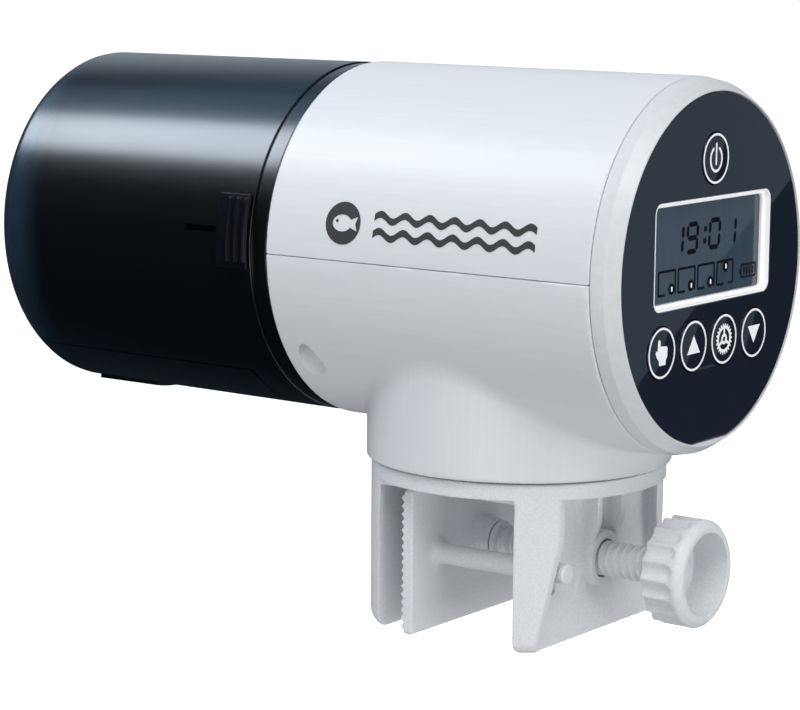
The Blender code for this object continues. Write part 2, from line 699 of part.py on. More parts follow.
def make_key(name, y, z):
    profile = [(KEY_FRONT_X, 0.0), (KEY_FRONT_X, KEY_R - 0.5), (KEY_FRONT_X - 0.15, KEY_R - 0.15),
               (KEY_FRONT_X - 0.5, KEY_R), (50.4, KEY_R), (50.4, KEY_FLANGE_R), (49.4, KEY_FLANGE_R),
               (49.4, 2.0), (KEY_BACK_X, 2.0), (KEY_BACK_X, 0.0)]
    return turned(name, profile, (y, AXIS_Z + z), steps=18)


def make_keypad_mat():
    """A rubber sheet with a dome behind each key and a window for the display."""
    window = rounded_rect(DISPLAY_Y, DISPLAY_Z, 38.0, 16.6, 1.0, 2)
    mat = slab("keypad_mat", "X", MAT_X, circle(0.0, AXIS_Z, 28.4, 40), [window])
    for y, z in KEYS.values():
        dome = [(MAT_X[1] + 0.5, 0.0), (MAT_X[1] + 0.5, 2.2), (MAT_X[1] - 0.1, 3.4),
                (MAT_X[1] - 0.2, 3.4), (MAT_X[1] - 0.2, 0.0)]
        join(mat, turned("dome", dome, (y, AXIS_Z + z), steps=12))
    return mat


def make_circuit_board():
    """The board, with a contact under each key, the controller, a buzzer and a connector."""
    board = slab("circuit_board", "X", BOARD_X, circle(0.0, AXIS_Z, 28.4, 40),
                 [circle(0.0, AXIS_Z - 24.0, 1.5, 12), circle(-21.0, AXIS_Z + 12.0, 1.5, 12)])
    front = BOARD_X[1] - 0.3
    for y, z in KEYS.values():
        join(board, cylinder("key_contact", "X", (y, AXIS_Z + z), 2.4, (front, 46.4), 12))
    join(board, box("controller", (front, 45.9), (-7.0, 5.0), (AXIS_Z - 2.0, AXIS_Z + 9.0)))
    back = BOARD_X[0] + 0.3
    join(board, cylinder("buzzer", "X", (-14.0, AXIS_Z - 14.0), 5.5, (38.5, back), 24))
    join(board, box("connector", (38.0, back), (-4.0, 6.0), (AXIS_Z - 12.0, AXIS_Z - 7.0)))
    return board


# ---------------------------------------------------------------- gear train

def compound_centre():
    return (0.0, AXIS_Z - MODULE * (HUB_TEETH + SMALL_TEETH) / 2)


def pinion_centre():
    reach = MODULE * (BIG_TEETH + PINION_TEETH) / 2
    turn = math.radians(PINION_ANGLE)
    y, z = compound_centre()
    return (y + reach * math.cos(turn), z + reach * math.sin(turn))


def make_drive_hub():
    """The output gear, its shaft through the housing and the hexagon that drives the drum."""
    hub = slab("drive_hub", "X", HUB_GEAR_X, gear_outline(0.0, AXIS_Z, HUB_TEETH, -90.0))
    shaft = [(-8.9, 0.0), (-8.9, 1.8), (-14.5, 1.8), (-14.5, SHAFT_R), (-20.3, SHAFT_R), (-20.3, 0.0)]
    join(hub, turned("shaft", shaft, (0.0, AXIS_Z), steps=24))
    corner = HEX_FLATS / math.sqrt(3.0)
    join(hub, slab("hexagon", "X", (-29.6, -20.0), circle(0.0, AXIS_Z, corner, 6)))
    return hub


def make_compound_gear():
    y, z = compound_centre()
    gear = slab("compound_gear", "X", BIG_GEAR_X, gear_outline(y, z, BIG_TEETH, PINION_ANGLE))
    gap_turn = 90.0 + 180.0 / SMALL_TEETH
    small = gear_outline(y, z, SMALL_TEETH, gap_turn)
    join(gear, slab("small_gear", "X", (HUB_GEAR_X[0], BIG_GEAR_X[0] + 0.5), small))
    cut(gear, cylinder("axle_bore", "X", (y, z), 1.25, (-20.0, -5.0), 16))
    return gear


def make_motor_pinion():
    y, z = pinion_centre()
    gap_turn = PINION_ANGLE + 180.0 + 180.0 / PINION_TEETH
    pinion = slab("motor_pinion", "X", PINION_X, gear_outline(y, z, PINION_TEETH, gap_turn))
    join(pinion, cylinder("motor_shaft", "X", (y, z), 1.0, (-13.0, -6.2), 16))
    return pinion


def make_gearbox_plate():
    """The plate behind the gears, with the axle pin and three posts to the end wall."""
    corners = ((-7.0, 16.5), (-2.0, 16.5), (6.0, 7.0), (9.0, 0.0), (16.5, -21.0), (16.0, -25.0),
               (11.0, -27.0), (-6.0, -22.5), (-19.0, -17.5), (-23.5, -12.0), (-22.0, -5.0), (-12.0, 2.0))
    plate = slab("gearbox_plate", "X", PLATE_X, [(y, AXIS_Z + z) for y, z in corners])
    join(plate, cylinder("axle_pin", "X", compound_centre(), 1.0, (-17.2, -9.0), 16))
    for y, z in ((13.0, -23.5), (-20.0, -10.5), (-4.5, 13.2)):
        span = (BODY_X0 + BODY_END_WALL + GAP, -9.0)
        join(plate, cylinder("post", "X", (y, AXIS_Z + z), 1.6, span, 16))
    cut(plate, cylinder("shaft_bore", "X", (0.0, AXIS_Z), 2.05, (-12.0, -5.0), 20))
    cut(plate, cylinder("pinion_hole", "X", pinion_centre(), 1.6, (-12.0, -5.0), 16))
    return plate


def make_motor():
    """A round can motor with a nose boss; its shaft is part of the pinion."""
    x0, x1 = MOTOR_X
    profile = [(x1 + 1.2, 0.0), (x1 + 1.2, 3.0), (x1, 3.0), (x1, MOTOR_R - 0.8), (x1 - 0.8, MOTOR_R),
               (x0 + 0.8, MOTOR_R), (x0, MOTOR_R - 0.8), (x0, 1.4), (x0 + 3.0, 1.4), (x0 + 3.0, 0.0)]
    return turned("motor", profile, pinion_centre(), steps=20)


def make_shaft_bush():
    """The flanged bush between the housing's end wall and the drive shaft."""
    flange_x = BODY_X0 + BODY_END_WALL + 0.25
    ring = [(flange_x + 0.6, BUSH_BORE_R), (flange_x + 0.6, 7.4), (flange_x, 7.4), (flange_x, BUSH_R),
            (BODY_X0 - 0.1, BUSH_R), (BODY_X0 - 0.1, BUSH_BORE_R)]
    return turned("shaft_bush", ring, (0.0, AXIS_Z), steps=24)


def make_home_switch():
    """The small switch that feels the gear's home position, with its lever roller."""
    switch = box("home_switch", (-16.8, -11.4), (14.5, 20.5), (AXIS_Z - 17.0, AXIS_Z - 4.5))
    join(switch, box("lever", (-15.5, -12.5), (13.0, 15.0), (AXIS_Z - 8.0, AXIS_Z - 6.0)))
    return switch


# ---------------------------------------------------------------- drum

def drum_profile(inset):
    """The outer half of the drum's section from its mouth to the closed end's centre."""
    x1 = DRUM_X1
    centre_x = DRUM_X0 + DRUM_EDGE_R
    points = [(x1, DRUM_R_MOUTH - inset), (centre_x, DRUM_R_END - inset)]
    for index in range(1, 5):
        turn = math.radians(90.0 * index / 4)
        points.append((centre_x - (DRUM_EDGE_R - inset) * math.sin(turn),
                       DRUM_R_END - DRUM_EDGE_R + (DRUM_EDGE_R - inset) * math.cos(turn)))
    points.append((DRUM_X0 + inset, 0.0))
    return points


def make_hopper_drum():
    """The smoky tub: open at the mouth, with a sliding hatch below and an outlet in front."""
    inside = drum_profile(DRUM_WALL)[::-1]
    drum = turned("hopper_drum", inside + drum_profile(0.0), (0.0, AXIS_Z), steps=ROUND)
    rail = [(RAIL_R0, 2.8), (RAIL_R0, -4.8), (HATCH_GROOVE_R0, -4.8), (HATCH_GROOVE_R0, -0.6),
            (HATCH_TONGUE_R, -0.6), (HATCH_TONGUE_R, 2.8)]
    edge = HATCH_TONGUE_ANGLE + 0.5
    for side in (-1, 1):
        outline = [around(radius, -90.0 + side * (edge + lean)) for radius, lean in rail]
        join(drum, slab("rail", "X", (DRUM_X0 + 1.2, COLLAR_X0 - GAP), outline))
    opening = sector(HATCH_GROOVE_R0, DRUM_R_MOUTH + 3, -90.0 - HATCH_HALF_ANGLE - 0.5,
                     -90.0 + HATCH_HALF_ANGLE + 0.5)
    cut(drum, slab("hatch_opening", "X", (DRUM_X0 - 3, HATCH_X1 + GAP), opening))
    groove = sector(HATCH_GROOVE_R0, HATCH_GROOVE_R1, -90.0 - edge, -90.0 + edge)
    cut(drum, slab("hatch_groove", "X", (DRUM_X0 - 3, HATCH_X1 + GAP), groove))
    window = sector(28.5, 36.0, GATE_ANGLE - WINDOW_HALF_ANGLE, GATE_ANGLE + WINDOW_HALF_ANGLE)
    cut(drum, slab("outlet_window", "X", (WINDOW_X0, WINDOW_X1), window))
    slot = sector(28.5, 36.0, GATE_ANGLE - 1.4, GATE_ANGLE + 1.4)
    cut(drum, slab("gate_slot", "X", (GATE_X0 - GATE_TRAVEL - 0.5, WINDOW_X0 + 0.5), slot))
    return drum


def make_refill_hatch():
    """The curved lid under the drum; it slides out of the closed end in two grooves."""
    lid_span = (DRUM_X0 - 2, HATCH_X1)
    tongue = sector(HATCH_INNER_R, HATCH_TONGUE_R, -90.0 - HATCH_TONGUE_ANGLE, -90.0 + HATCH_TONGUE_ANGLE)
    hatch = slab("refill_hatch", "X", lid_span, tongue)
    skin = sector(HATCH_INNER_R, 36.0, -90.0 - HATCH_HALF_ANGLE, -90.0 + HATCH_HALF_ANGLE)
    join(hatch, slab("hatch_skin", "X", lid_span, skin))
    form = [(DRUM_X1, 0.0)] + drum_profile(0.0)
    keep(hatch, turned("drum_form", form, (0.0, AXIS_Z), steps=ROUND))
    grip = sector(32.0, 33.5, -102.0, -78.0)
    join(hatch, slab("hatch_grip", "X", (-85.0, -69.0), grip))
    return hatch


def make_outlet_gate():
    """The ribbed slide over the outlet, with its shutter on the inside of the drum."""
    low = GATE_ANGLE - GATE_HALF_ANGLE
    high = GATE_ANGLE + GATE_HALF_ANGLE
    gate = slab("outlet_gate", "X", (GATE_X0, GATE_X1), sector(33.25, 33.9, low, high))
    for middle in (-28.6, -26.75, -24.9):
        rib = sector(33.6, 34.4, low + 2.0, high - 1.3)
        join(gate, slab("rib", "X", (middle - 0.4, middle + 0.4), rib))
    stem = sector(30.2, 33.5, GATE_ANGLE - 0.8, GATE_ANGLE + 0.8)
    join(gate, slab("stem", "X", (GATE_X0 + 0.4, GATE_X0 + 1.9), stem))
    shutter = sector(29.9, 30.6, low + 1.8, high - 1.8)
    join(gate, slab("shutter", "X", (GATE_X0, GATE_X1 - 0.4), shutter))
    return gate


def make_hopper_collar():
    """The dark plug in the drum's mouth: a web, a skirt and the socket for the drive."""
    skirt_r = COLLAR_R - COLLAR_SKIN
    profile = [(COLLAR_X1, 0.0), (COLLAR_X1, COLLAR_R), (COLLAR_X0, COLLAR_R), (COLLAR_X0, skirt_r),
               (COLLAR_WEB_X, skirt_r), (COLLAR_WEB_X, 6.6), (-31.4, 6.4), (-31.4, 0.0)]
    collar = turned("hopper_collar", profile, (0.0, AXIS_Z), steps=ROUND)
    corner = (HEX_FLATS + 0.5) / math.sqrt(3.0)
    cut(collar, slab("socket", "X", (-30.2, -15.0), circle(0.0, AXIS_Z, corner, 6)))
    notch = sector(26.0, 34.0, GATE_ANGLE - GATE_HALF_ANGLE - 2, GATE_ANGLE + GATE_HALF_ANGLE + 2)
    cut(collar, slab("outlet_notch", "X", (-35.0, -23.6), notch))
    return collar


# ---------------------------------------------------------------- assembly

clear_scene()
PARTS = new_collection("automatic_fish_feeder")
CUTTERS = new_collection("cutters")

WHITE = material("white_plastic", (0.82, 0.83, 0.85), 0.38)
CLAMP_WHITE = material("clamp_plastic", (0.84, 0.85, 0.87), 0.55)
GREY = material("ring_grey_plastic", (0.55, 0.57, 0.60), 0.35)
LENS = material("lens_gloss", (0.025, 0.032, 0.045), 0.08)
SMOKE = material("smoked_hopper", (0.03, 0.04, 0.06), 0.12)
DARK = material("dark_plastic", (0.05, 0.055, 0.065), 0.4)
GLASS = material("lcd_glass", (0.06, 0.085, 0.11), 0.1)
RUBBER = material("grey_rubber", (0.3, 0.31, 0.32), 0.8)
BOARD = material("board_green", (0.03, 0.16, 0.08), 0.5)
CELL = material("cell_jacket", (0.12, 0.13, 0.15), 0.3, 0.4)
NICKEL = material("nickel_plate", (0.75, 0.74, 0.7), 0.25, 1.0)
STEEL = material("steel", (0.6, 0.6, 0.61), 0.3, 1.0)
ACETAL = material("gear_acetal", (0.85, 0.83, 0.76), 0.5)
BRONZE = material("bush_bronze", (0.6, 0.42, 0.2), 0.4, 1.0)


def assemble():
    drum_axis = (0.0, 0.0, AXIS_Z)
    paint(make_clamp_base(), CLAMP_WHITE)
    jaw = paint(make_pressure_jaw(), CLAMP_WHITE)
    cap = paint(make_screw_cap(), CLAMP_WHITE)
    pivot("jaw_slide_axis", (0.0, 0.0, SCREW_Z), jaw, cap)
    thumbscrew = paint(make_thumbscrew(), CLAMP_WHITE)
    pivot("screw_axis", (0.0, 0.0, SCREW_Z), thumbscrew)

    housing = [paint(make_lower_shell(), WHITE), paint(make_upper_shell(), WHITE)]
    housing += [paint(make_front_ring(), GREY), paint(make_control_panel(), LENS)]
    housing += [paint(make_lcd_frame(), WHITE), paint(make_lcd_module(), GLASS)]
    housing += [paint(make_keypad_mat(), RUBBER), paint(make_circuit_board(), BOARD)]
    housing += [paint(make_battery_tray(), DARK)]
    housing += [paint(make_cell("battery_cell_low", CELL_CENTRES[0], False), CELL)]
    housing += [paint(make_cell("battery_cell_high", CELL_CENTRES[1], True), CELL)]
    near = (CELL_X0 - 0.9, CELL_X0 - 0.4)
    far = (CELL_X0 + CELL_LENGTH + 0.4, CELL_X0 + CELL_LENGTH + 0.9)
    housing += [paint(slab("contact_bridge", "X", near, contact_outline((0, 1))), NICKEL)]
    housing += [paint(slab("contact_low", "X", far, contact_outline((0,))), NICKEL)]
    housing += [paint(slab("contact_high", "X", far, contact_outline((1,))), NICKEL)]
    housing += [paint(make_swivel_screw(), STEEL), paint(make_swivel_washer(), STEEL)]
    housing += [paint(make_shell_screw("shell_screw_front", -1), STEEL)]
    housing += [paint(make_shell_screw("shell_screw_rear", 1), STEEL)]
    housing += [paint(make_motor(), STEEL), paint(make_gearbox_plate(), DARK)]
    housing += [paint(make_shaft_bush(), BRONZE), paint(make_home_switch(), DARK)]
    pivot("swivel_axis", (SWIVEL_X, 0.0, 0.0), *housing)

    door = paint(make_battery_door(), WHITE)
    hinge_y, hinge_z = around(BODY_R, 180.0 - DOOR_ANGLES[0])
    pivot("door_hinge_axis", (0.0, hinge_y, hinge_z), door)
    for name, (y, z) in KEYS.items():
        key = paint(make_key(name, y, z), LENS)
        pivot(name + "_axis", (KEY_BACK_X, y, AXIS_Z + z), key)

    pivot("pinion_axis", (0.0, *pinion_centre()), paint(make_motor_pinion(), ACETAL))
    pivot("compound_axis", (0.0, *compound_centre()), paint(make_compound_gear(), ACETAL))
    pivot("drive_axis", drum_axis, paint(make_drive_hub(), ACETAL))
    drum = [paint(make_hopper_drum(), SMOKE), paint(make_hopper_collar(), DARK)]
    pivot("drum_axis", drum_axis, *drum)
    pivot("gate_axis", (GATE_X0, *around(33.25, GATE_ANGLE)), paint(make_outlet_gate(), DARK))
    pivot("hatch_axis", (DRUM_X0, *around(DRUM_R_END, -90.0)), paint(make_refill_hatch(), SMOKE))


assemble()
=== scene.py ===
"""The looks of the automatic fish feeder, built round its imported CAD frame.

Lengths here are millimetres in the frame's own axes, turned into metres when a mesh is made.
The driving sizes come from the frame's boxes and joints. A moulded shape with fillets is written as
a distance field, a function of x, y and z that is negative inside the plastic, and cast() turns it
into a mesh. Turned shapes are made by lathe() and flat ones by plate().
"""

import json
import math

import bmesh
import bpy
import numpy as np
from mathutils import Matrix, Vector

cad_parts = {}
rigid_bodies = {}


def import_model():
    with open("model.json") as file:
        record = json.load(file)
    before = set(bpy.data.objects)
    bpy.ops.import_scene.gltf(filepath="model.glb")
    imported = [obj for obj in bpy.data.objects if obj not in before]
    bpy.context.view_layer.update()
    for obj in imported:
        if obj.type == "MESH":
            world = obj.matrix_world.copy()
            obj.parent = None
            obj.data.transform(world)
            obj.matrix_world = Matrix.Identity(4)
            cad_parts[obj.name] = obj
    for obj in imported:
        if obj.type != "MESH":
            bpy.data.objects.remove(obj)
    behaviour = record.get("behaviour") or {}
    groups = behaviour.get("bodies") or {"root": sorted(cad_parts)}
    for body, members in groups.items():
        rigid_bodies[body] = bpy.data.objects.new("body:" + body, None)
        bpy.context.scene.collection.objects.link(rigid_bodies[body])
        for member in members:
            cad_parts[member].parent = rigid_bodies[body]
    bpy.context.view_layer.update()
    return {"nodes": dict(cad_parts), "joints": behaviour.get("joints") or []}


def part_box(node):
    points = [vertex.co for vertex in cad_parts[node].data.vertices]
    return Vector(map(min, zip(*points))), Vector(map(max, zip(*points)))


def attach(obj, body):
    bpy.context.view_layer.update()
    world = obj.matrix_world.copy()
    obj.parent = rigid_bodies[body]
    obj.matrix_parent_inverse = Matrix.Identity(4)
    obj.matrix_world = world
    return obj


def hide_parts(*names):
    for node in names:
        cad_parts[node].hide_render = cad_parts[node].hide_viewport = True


for item in list(bpy.data.objects):
    bpy.data.objects.remove(item)
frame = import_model()

MM = 0.001
BIG = 300.0
WIDE = (-BIG, BIG)
JOINTS = {joint["name"]: joint for joint in frame["joints"]}


# ---- driving sizes

def span(node, axis):
    """The lowest and highest x (0), y (1) or z (2) of a CAD node."""
    low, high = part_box(node)
    return low[axis] / MM, high[axis] / MM


def middle(node, axis):
    return sum(span(node, axis)) / 2


def whole_span(node):
    return tuple(span(node, axis) for axis in range(3))


AXIS_Z = JOINTS["drive_spin"]["pos_m"][2] / MM
SWIVEL_X = JOINTS["swivel"]["pos_m"][0] / MM
SCREW_Z = JOINTS["screw_turn"]["pos_m"][2] / MM

BODY_X0, BODY_X1 = span("lower_shell", 0)
BODY_R = span("lower_shell", 1)[1]
SHELL_WALL = 2.2
BODY_BORE_R = BODY_R - SHELL_WALL
BUSH_HOLE_R = 5.9
NECK_Z0 = span("lower_shell", 2)[0]
NECK_R = 28.0
NECK_BORE_R = 25.8
PARTING_GAP, PARTING_EDGE = 0.018, 0.08
SHELL_SCREW_X = middle("shell_screw_front", 0)
SHELL_SCREW_Y = middle("shell_screw_rear", 1)
SCREW_WELL_R, SCREW_WELL_Z = 2.25, (AXIS_Z - 30.0, AXIS_Z - 13.0)

CLAMP_X0 = span("clamp_base", 0)[0]
FLANGE_R = span("clamp_base", 1)[1]
CLAMP_Z0, FLANGE_Z1 = span("clamp_base", 2)
FLANGE_Z0 = 0.9
SEAT_HALF_Y = 22.0
JAW_FACE_X = -2.4
BRACKET_X0, BRACKET_X1 = 27.3, 29.5
BRACKET_HOLES_X = (20.0, 40.0)
GUSSET_EDGE_X, GUSSET_KNEE_Z, GUSSET_LEAN = 33.5, -6.8, 0.154
LEG_INNER_R = 25.7
SCREW_HOLE_R = 3.5
SCREW_BOSS_R, SCREW_BOSS_X1 = 5.1, 32.3
SWIVEL_PILOT_R = 1.9
WASHER_SEAT_R, WASHER_SEAT_Z = 3.9, 2.4

JAW_TIP_X, ROD_END_X = span("pressure_jaw", 0)
JAW_HALF_Y = span("pressure_jaw", 1)[1]
JAW_Z0, JAW_Z1 = span("pressure_jaw", 2)
JAW_VALLEY_X, JAW_BACK_X = 3.35, 5.3
TOOTH_PITCH = 1.48
ROD_Y, ROD_Z, ROD_R = -14.3, -12.9, 1.9

FOOT_X0, KNOB_X1 = span("thumbscrew", 0)
KNOB_R = span("thumbscrew", 1)[1]
KNOB_X0 = KNOB_X1 - 8.1
FLUTE_COUNT, FLUTE_R = 18, 1.72
RECESS_R, RECESS_X0 = 7.5, KNOB_X0 + 1.0
DOME_R, DOME_X = 3.7, KNOB_X0 + 0.9
THREAD_R, THREAD_DEPTH, THREAD_PITCH = 3.2, 0.75, 1.6
THREAD_X0 = 10.3

DRUM_X0, DRUM_X1 = span("hopper_drum", 0)
DRUM_R = span("hopper_drum", 1)[1]
DRUM_END_R = DRUM_R - 0.35
DRUM_WALL = 1.7
DRUM_EDGE_R = 2.6
HATCH_X1 = span("refill_hatch", 0)[1]
UNDERSIDE = -90.0
HATCH_HALF_ANGLE = 43.8
RAIL_ANGLE = 46.7
GROOVE_R0, LID_R0, TONGUE_R1 = 30.6, 31.0, 31.7
CLEAR_R = 36.0
GATE_ANGLE, GATE_HALF_ANGLE, GATE_R = 6.0, 11.8, 33.5
GATE_X0, GATE_X1 = span("outlet_gate", 0)
WINDOW_X = (-30.4, -25.2)
GATE_TRAVEL = JOINTS["gate_slide"]["range_m"][1] / MM

RING_X0, RING_X1 = 48.45, span("front_ring", 0)[1]
RING_R = span("front_ring", 1)[1]
PANEL_X0, PANEL_X1 = span("control_panel", 0)
PANEL_R = span("control_panel", 1)[1]
PANEL_FOOT_Z = span("control_panel", 2)[0]
LENS_GAP = 0.3
DISPLAY_Y, DISPLAY_Z = middle("lcd_frame", 1), middle("lcd_frame", 2)
DISPLAY_OPENING = (39.9, 18.6)
DISPLAY_WINDOW = (37.6, 16.6)
FRAME_FRONT_X = span("lcd_frame", 0)[1]
LCD_FRONT_X = span("lcd_module", 0)[1]
KEYS = ("key_power", "key_feed", "key_up", "key_set", "key_down")
KEY_HOLE_R = 4.65
KEY_FACE_DEPTH, KEY_PRINT_DEPTH = 0.05, 0.045
PRINT = 0.03

DOOR_X = span("battery_door", 0)
DOOR_ANGLES = (6.5, 73.5)
DOOR_INNER_R = 31.2


# ---- distance fields

def merge(a, b, blend=0.0):
    """The union of two fields, with a fillet about as wide as blend."""
    if blend == 0.0:
        return np.minimum(a, b)
    part = np.clip(0.5 + 0.5 * (b - a) / blend, 0.0, 1.0)
    return b + (a - b) * part - blend * part * (1.0 - part)


def carve(solid, tool, blend=0.0):
    return -merge(-solid, tool, blend)


def overlap(a, b, blend=0.0):
    return -merge(-a, -b, blend)


def block(x, y, z, spans, edge=0.0):
    """A block; spans holds its low and high along x, y and z."""
    reach = [np.abs(v - (a + b) / 2) - (b - a) / 2 + edge for v, (a, b) in zip((x, y, z), spans)]
    outside = np.sqrt(sum(np.maximum(r, 0.0) ** 2 for r in reach))
    within = np.minimum(np.maximum(np.maximum(reach[0], reach[1]), reach[2]), 0.0)
    return outside + within - edge


def corner(u, v):
    """The distance from the corner of a shape, given those from its two sides."""
    return np.hypot(np.maximum(u, 0.0), np.maximum(v, 0.0)) + np.minimum(np.maximum(u, v), 0.0)


def rod(along, across, radius, ends, edge=0.0):
    """A round rod, from the place along its axis and the distance across from it."""
    tip = np.abs(along - (ends[0] + ends[1]) / 2) - (ends[1] - ends[0]) / 2 + edge
    return corner(across - radius + edge, tip) - edge


def slope(shape, points, step=0.02):
    """The field's gradient at each point."""
    parts = []
    for axis in range(3):
        shift = np.zeros(3)
        shift[axis] = step
        parts.append(shape(*(points + shift).T) - shape(*(points - shift).T))
    return np.stack(parts, 1) / (2 * step)


def cell_points(field, cells):
    """The mean of the places where the field is zero on each cell's edges, in cell units."""
    total = np.zeros((len(cells), 3))
    hits = np.zeros(len(cells))
    for axis in range(3):
        for offset in ((0, 0), (0, 1), (1, 0), (1, 1)):
            start = np.insert(offset, axis, 0)
            end = np.insert(offset, axis, 1)
            a = field[tuple((cells + start).T)]
            b = field[tuple((cells + end).T)]
            crossed = (a < 0) != (b < 0)
            places = (cells + start).astype(float)
            places[crossed, axis] += a[crossed] / (a[crossed] - b[crossed])
            total[crossed] += places[crossed]
            hits += crossed
    return total / hits[:, None]


def cell_faces(inside, number):
    """A quad round each grid edge that the surface crosses, facing out of the solid."""
    faces = []
    for axis in range(3):
        u, v = (axis + 1) % 3, (axis + 2) % 3
        count = inside.shape[axis]
        before = np.take(inside, range(count - 1), axis)
        after = np.take(inside, range(1, count), axis)
        edges = np.argwhere(before != after)
        ring = []
        for du, dv in ((0, 0), (1, 0), (1, 1), (0, 1)):
            cell = edges.copy()
            cell[:, u] -= du
            cell[:, v] -= dv
            ring.append(number[tuple(cell.T)])
        quads = np.stack(ring, 1)
        leaving = inside[tuple(edges.T)]
        faces.append(np.where(leaving[:, None], quads, quads[:, ::-1]))
    return np.concatenate(faces)


def cast(name, shape, spans, cell, share=0.4):
    """The mesh of a distance field within spans: a vertex in each grid cell that the surface
    crosses, moved onto the surface, and then thinned to a share of its faces where it is flat."""
    axes = [np.arange(a - 2.5 * cell, b + 2.5 * cell, cell) for a, b in spans]
    field = shape(*np.meshgrid(*axes, indexing="ij", sparse=True))
    inside = field < 0.0
    nx, ny, nz = inside.shape
    corners = [inside[i:nx - 1 + i, j:ny - 1 + j, k:nz - 1 + k]
               for i in (0, 1) for j in (0, 1) for k in (0, 1)]
    crossed = np.any(corners, axis=0) & ~np.all(corners, axis=0)
    cells = np.argwhere(crossed)
    number = np.full(crossed.shape, -1, np.int32)
    number[crossed] = np.arange(len(cells))
    points = cell_points(field, cells) * cell + [axis[0] for axis in axes]
    for _ in range(3):
        lean = slope(shape, points)
        gap = shape(*points.T)[:, None] * lean / np.maximum((lean ** 2).sum(1), 0.05)[:, None]
        size = np.linalg.norm(gap, axis=1, keepdims=True)
        points -= gap * np.minimum(1.0, 0.5 * cell / np.maximum(size, 1e-9))
    mesh = bpy.data.meshes.new(name)
    mesh.from_pydata(points * MM, [], cell_faces(inside, number))
    mesh.validate()
    item = place(name, mesh)
    if share < 1.0:
        item.modifiers.new("Thin", "DECIMATE").ratio = share
        freeze(item)
    soften(item, shape)
    return item


def soften(item, shape, limit=28.0):
    """Shades a cast mesh with the field's own normals, except where a face leans too far off."""
    mesh = item.data
    mesh.shade_smooth()
    points = np.empty(len(mesh.vertices) * 3)
    mesh.vertices.foreach_get("co", points)
    lean = slope(shape, points.reshape(-1, 3) / MM)
    lean /= np.maximum(np.linalg.norm(lean, axis=1, keepdims=True), 1e-9)
    corner = np.empty(len(mesh.loops), np.int32)
    mesh.loops.foreach_get("vertex_index", corner)
    sizes = np.empty(len(mesh.polygons), np.int32)
    mesh.polygons.foreach_get("loop_total", sizes)
    flat = np.empty(len(mesh.polygons) * 3)
    mesh.polygons.foreach_get("normal", flat)
    flat = np.repeat(flat.reshape(-1, 3), sizes, axis=0)
    normals = lean[corner]
    close = (normals * flat).sum(1) > math.cos(math.radians(limit))
    normals = np.where(close[:, None], normals, flat)
    mesh.normals_split_custom_set(normals.tolist())


# ---- turned and flat shapes

def place(name, data):
    item = bpy.data.objects.new(name, data)
    bpy.context.scene.collection.objects.link(item)
    return item


def store(name, bm):
    """Makes a piece of a bmesh."""
    mesh = bpy.data.meshes.new(name)
    bm.to_mesh(mesh)
    bm.free()
    return place(name, mesh)


def final_mesh(item):
    """The mesh of a piece with its modifiers applied, or of a filled curve."""
    bpy.context.view_layer.update()
    graph = bpy.context.evaluated_depsgraph_get()
    return bpy.data.meshes.new_from_object(item.evaluated_get(graph))


def freeze(item):
    """Applies a piece's modifiers and transform to its mesh."""
    mesh = final_mesh(item)
    mesh.transform(item.matrix_world)
    item.modifiers.clear()
    item.data = mesh
    item.matrix_world = Matrix.Identity(4)
    return item


def rounded(points, steps=5):
    """A line through (u, v) or (u, v, radius) points, with an arc at each that has a radius."""
    line = []
    for index, point in enumerate(points):
        here = Vector(point[:2])
        if len(point) < 3 or index in (0, len(points) - 1):
            line.append(tuple(here))
            continue
        back = (Vector(points[index - 1][:2]) - here).normalized()
        ahead = (Vector(points[index + 1][:2]) - here).normalized()
        half = back.angle(ahead) / 2
        reach = point[2] / math.tan(half)
        centre = here + (back + ahead).normalized() * point[2] / math.sin(half)
        start = here + back * reach - centre
        end = here + ahead * reach - centre
        for step in range(steps + 1):
            line.append(tuple(centre + start.slerp(end, step / steps).normalized() * point[2]))
    return line


def lathe(name, profile, centre, axis="X", steps=180):
    """A turned piece; profile holds (along, radius) or (along, radius, corner radius) points,
    walked so that the outer side runs from the high end to the low end."""
    line = rounded(profile)
    bm = bmesh.new()
    verts = [bm.verts.new((MM * max(radius, 0.0), 0.0, MM * along)) for along, radius in line]
    for first, second in zip(verts, verts[1:]):
        bm.edges.new((first, second))
    if profile[0][1] > 0 and profile[-1][1] > 0:
        bm.edges.new((verts[-1], verts[0]))
    item = store(name, bm)
    if axis == "X":
        item.rotation_euler = (0.0, math.radians(90.0), 0.0)
        item.location = (0.0, MM * centre[0], MM * centre[1])
    else:
        item.location = (MM * centre[0], MM * centre[1], 0.0)
    turn = item.modifiers.new("Turn", "SCREW")
    turn.steps = steps
    turn.render_steps = steps
    turn.use_merge_vertices = True
    turn.merge_threshold = 0.00001
    freeze(item)
    return shade(item)


def shade(item, angle=32.0):
    """Smooth shading where faces meet at less than an angle."""
    item.data.shade_smooth()
    item.data.set_sharp_from_angle(angle=math.radians(angle))
    return item


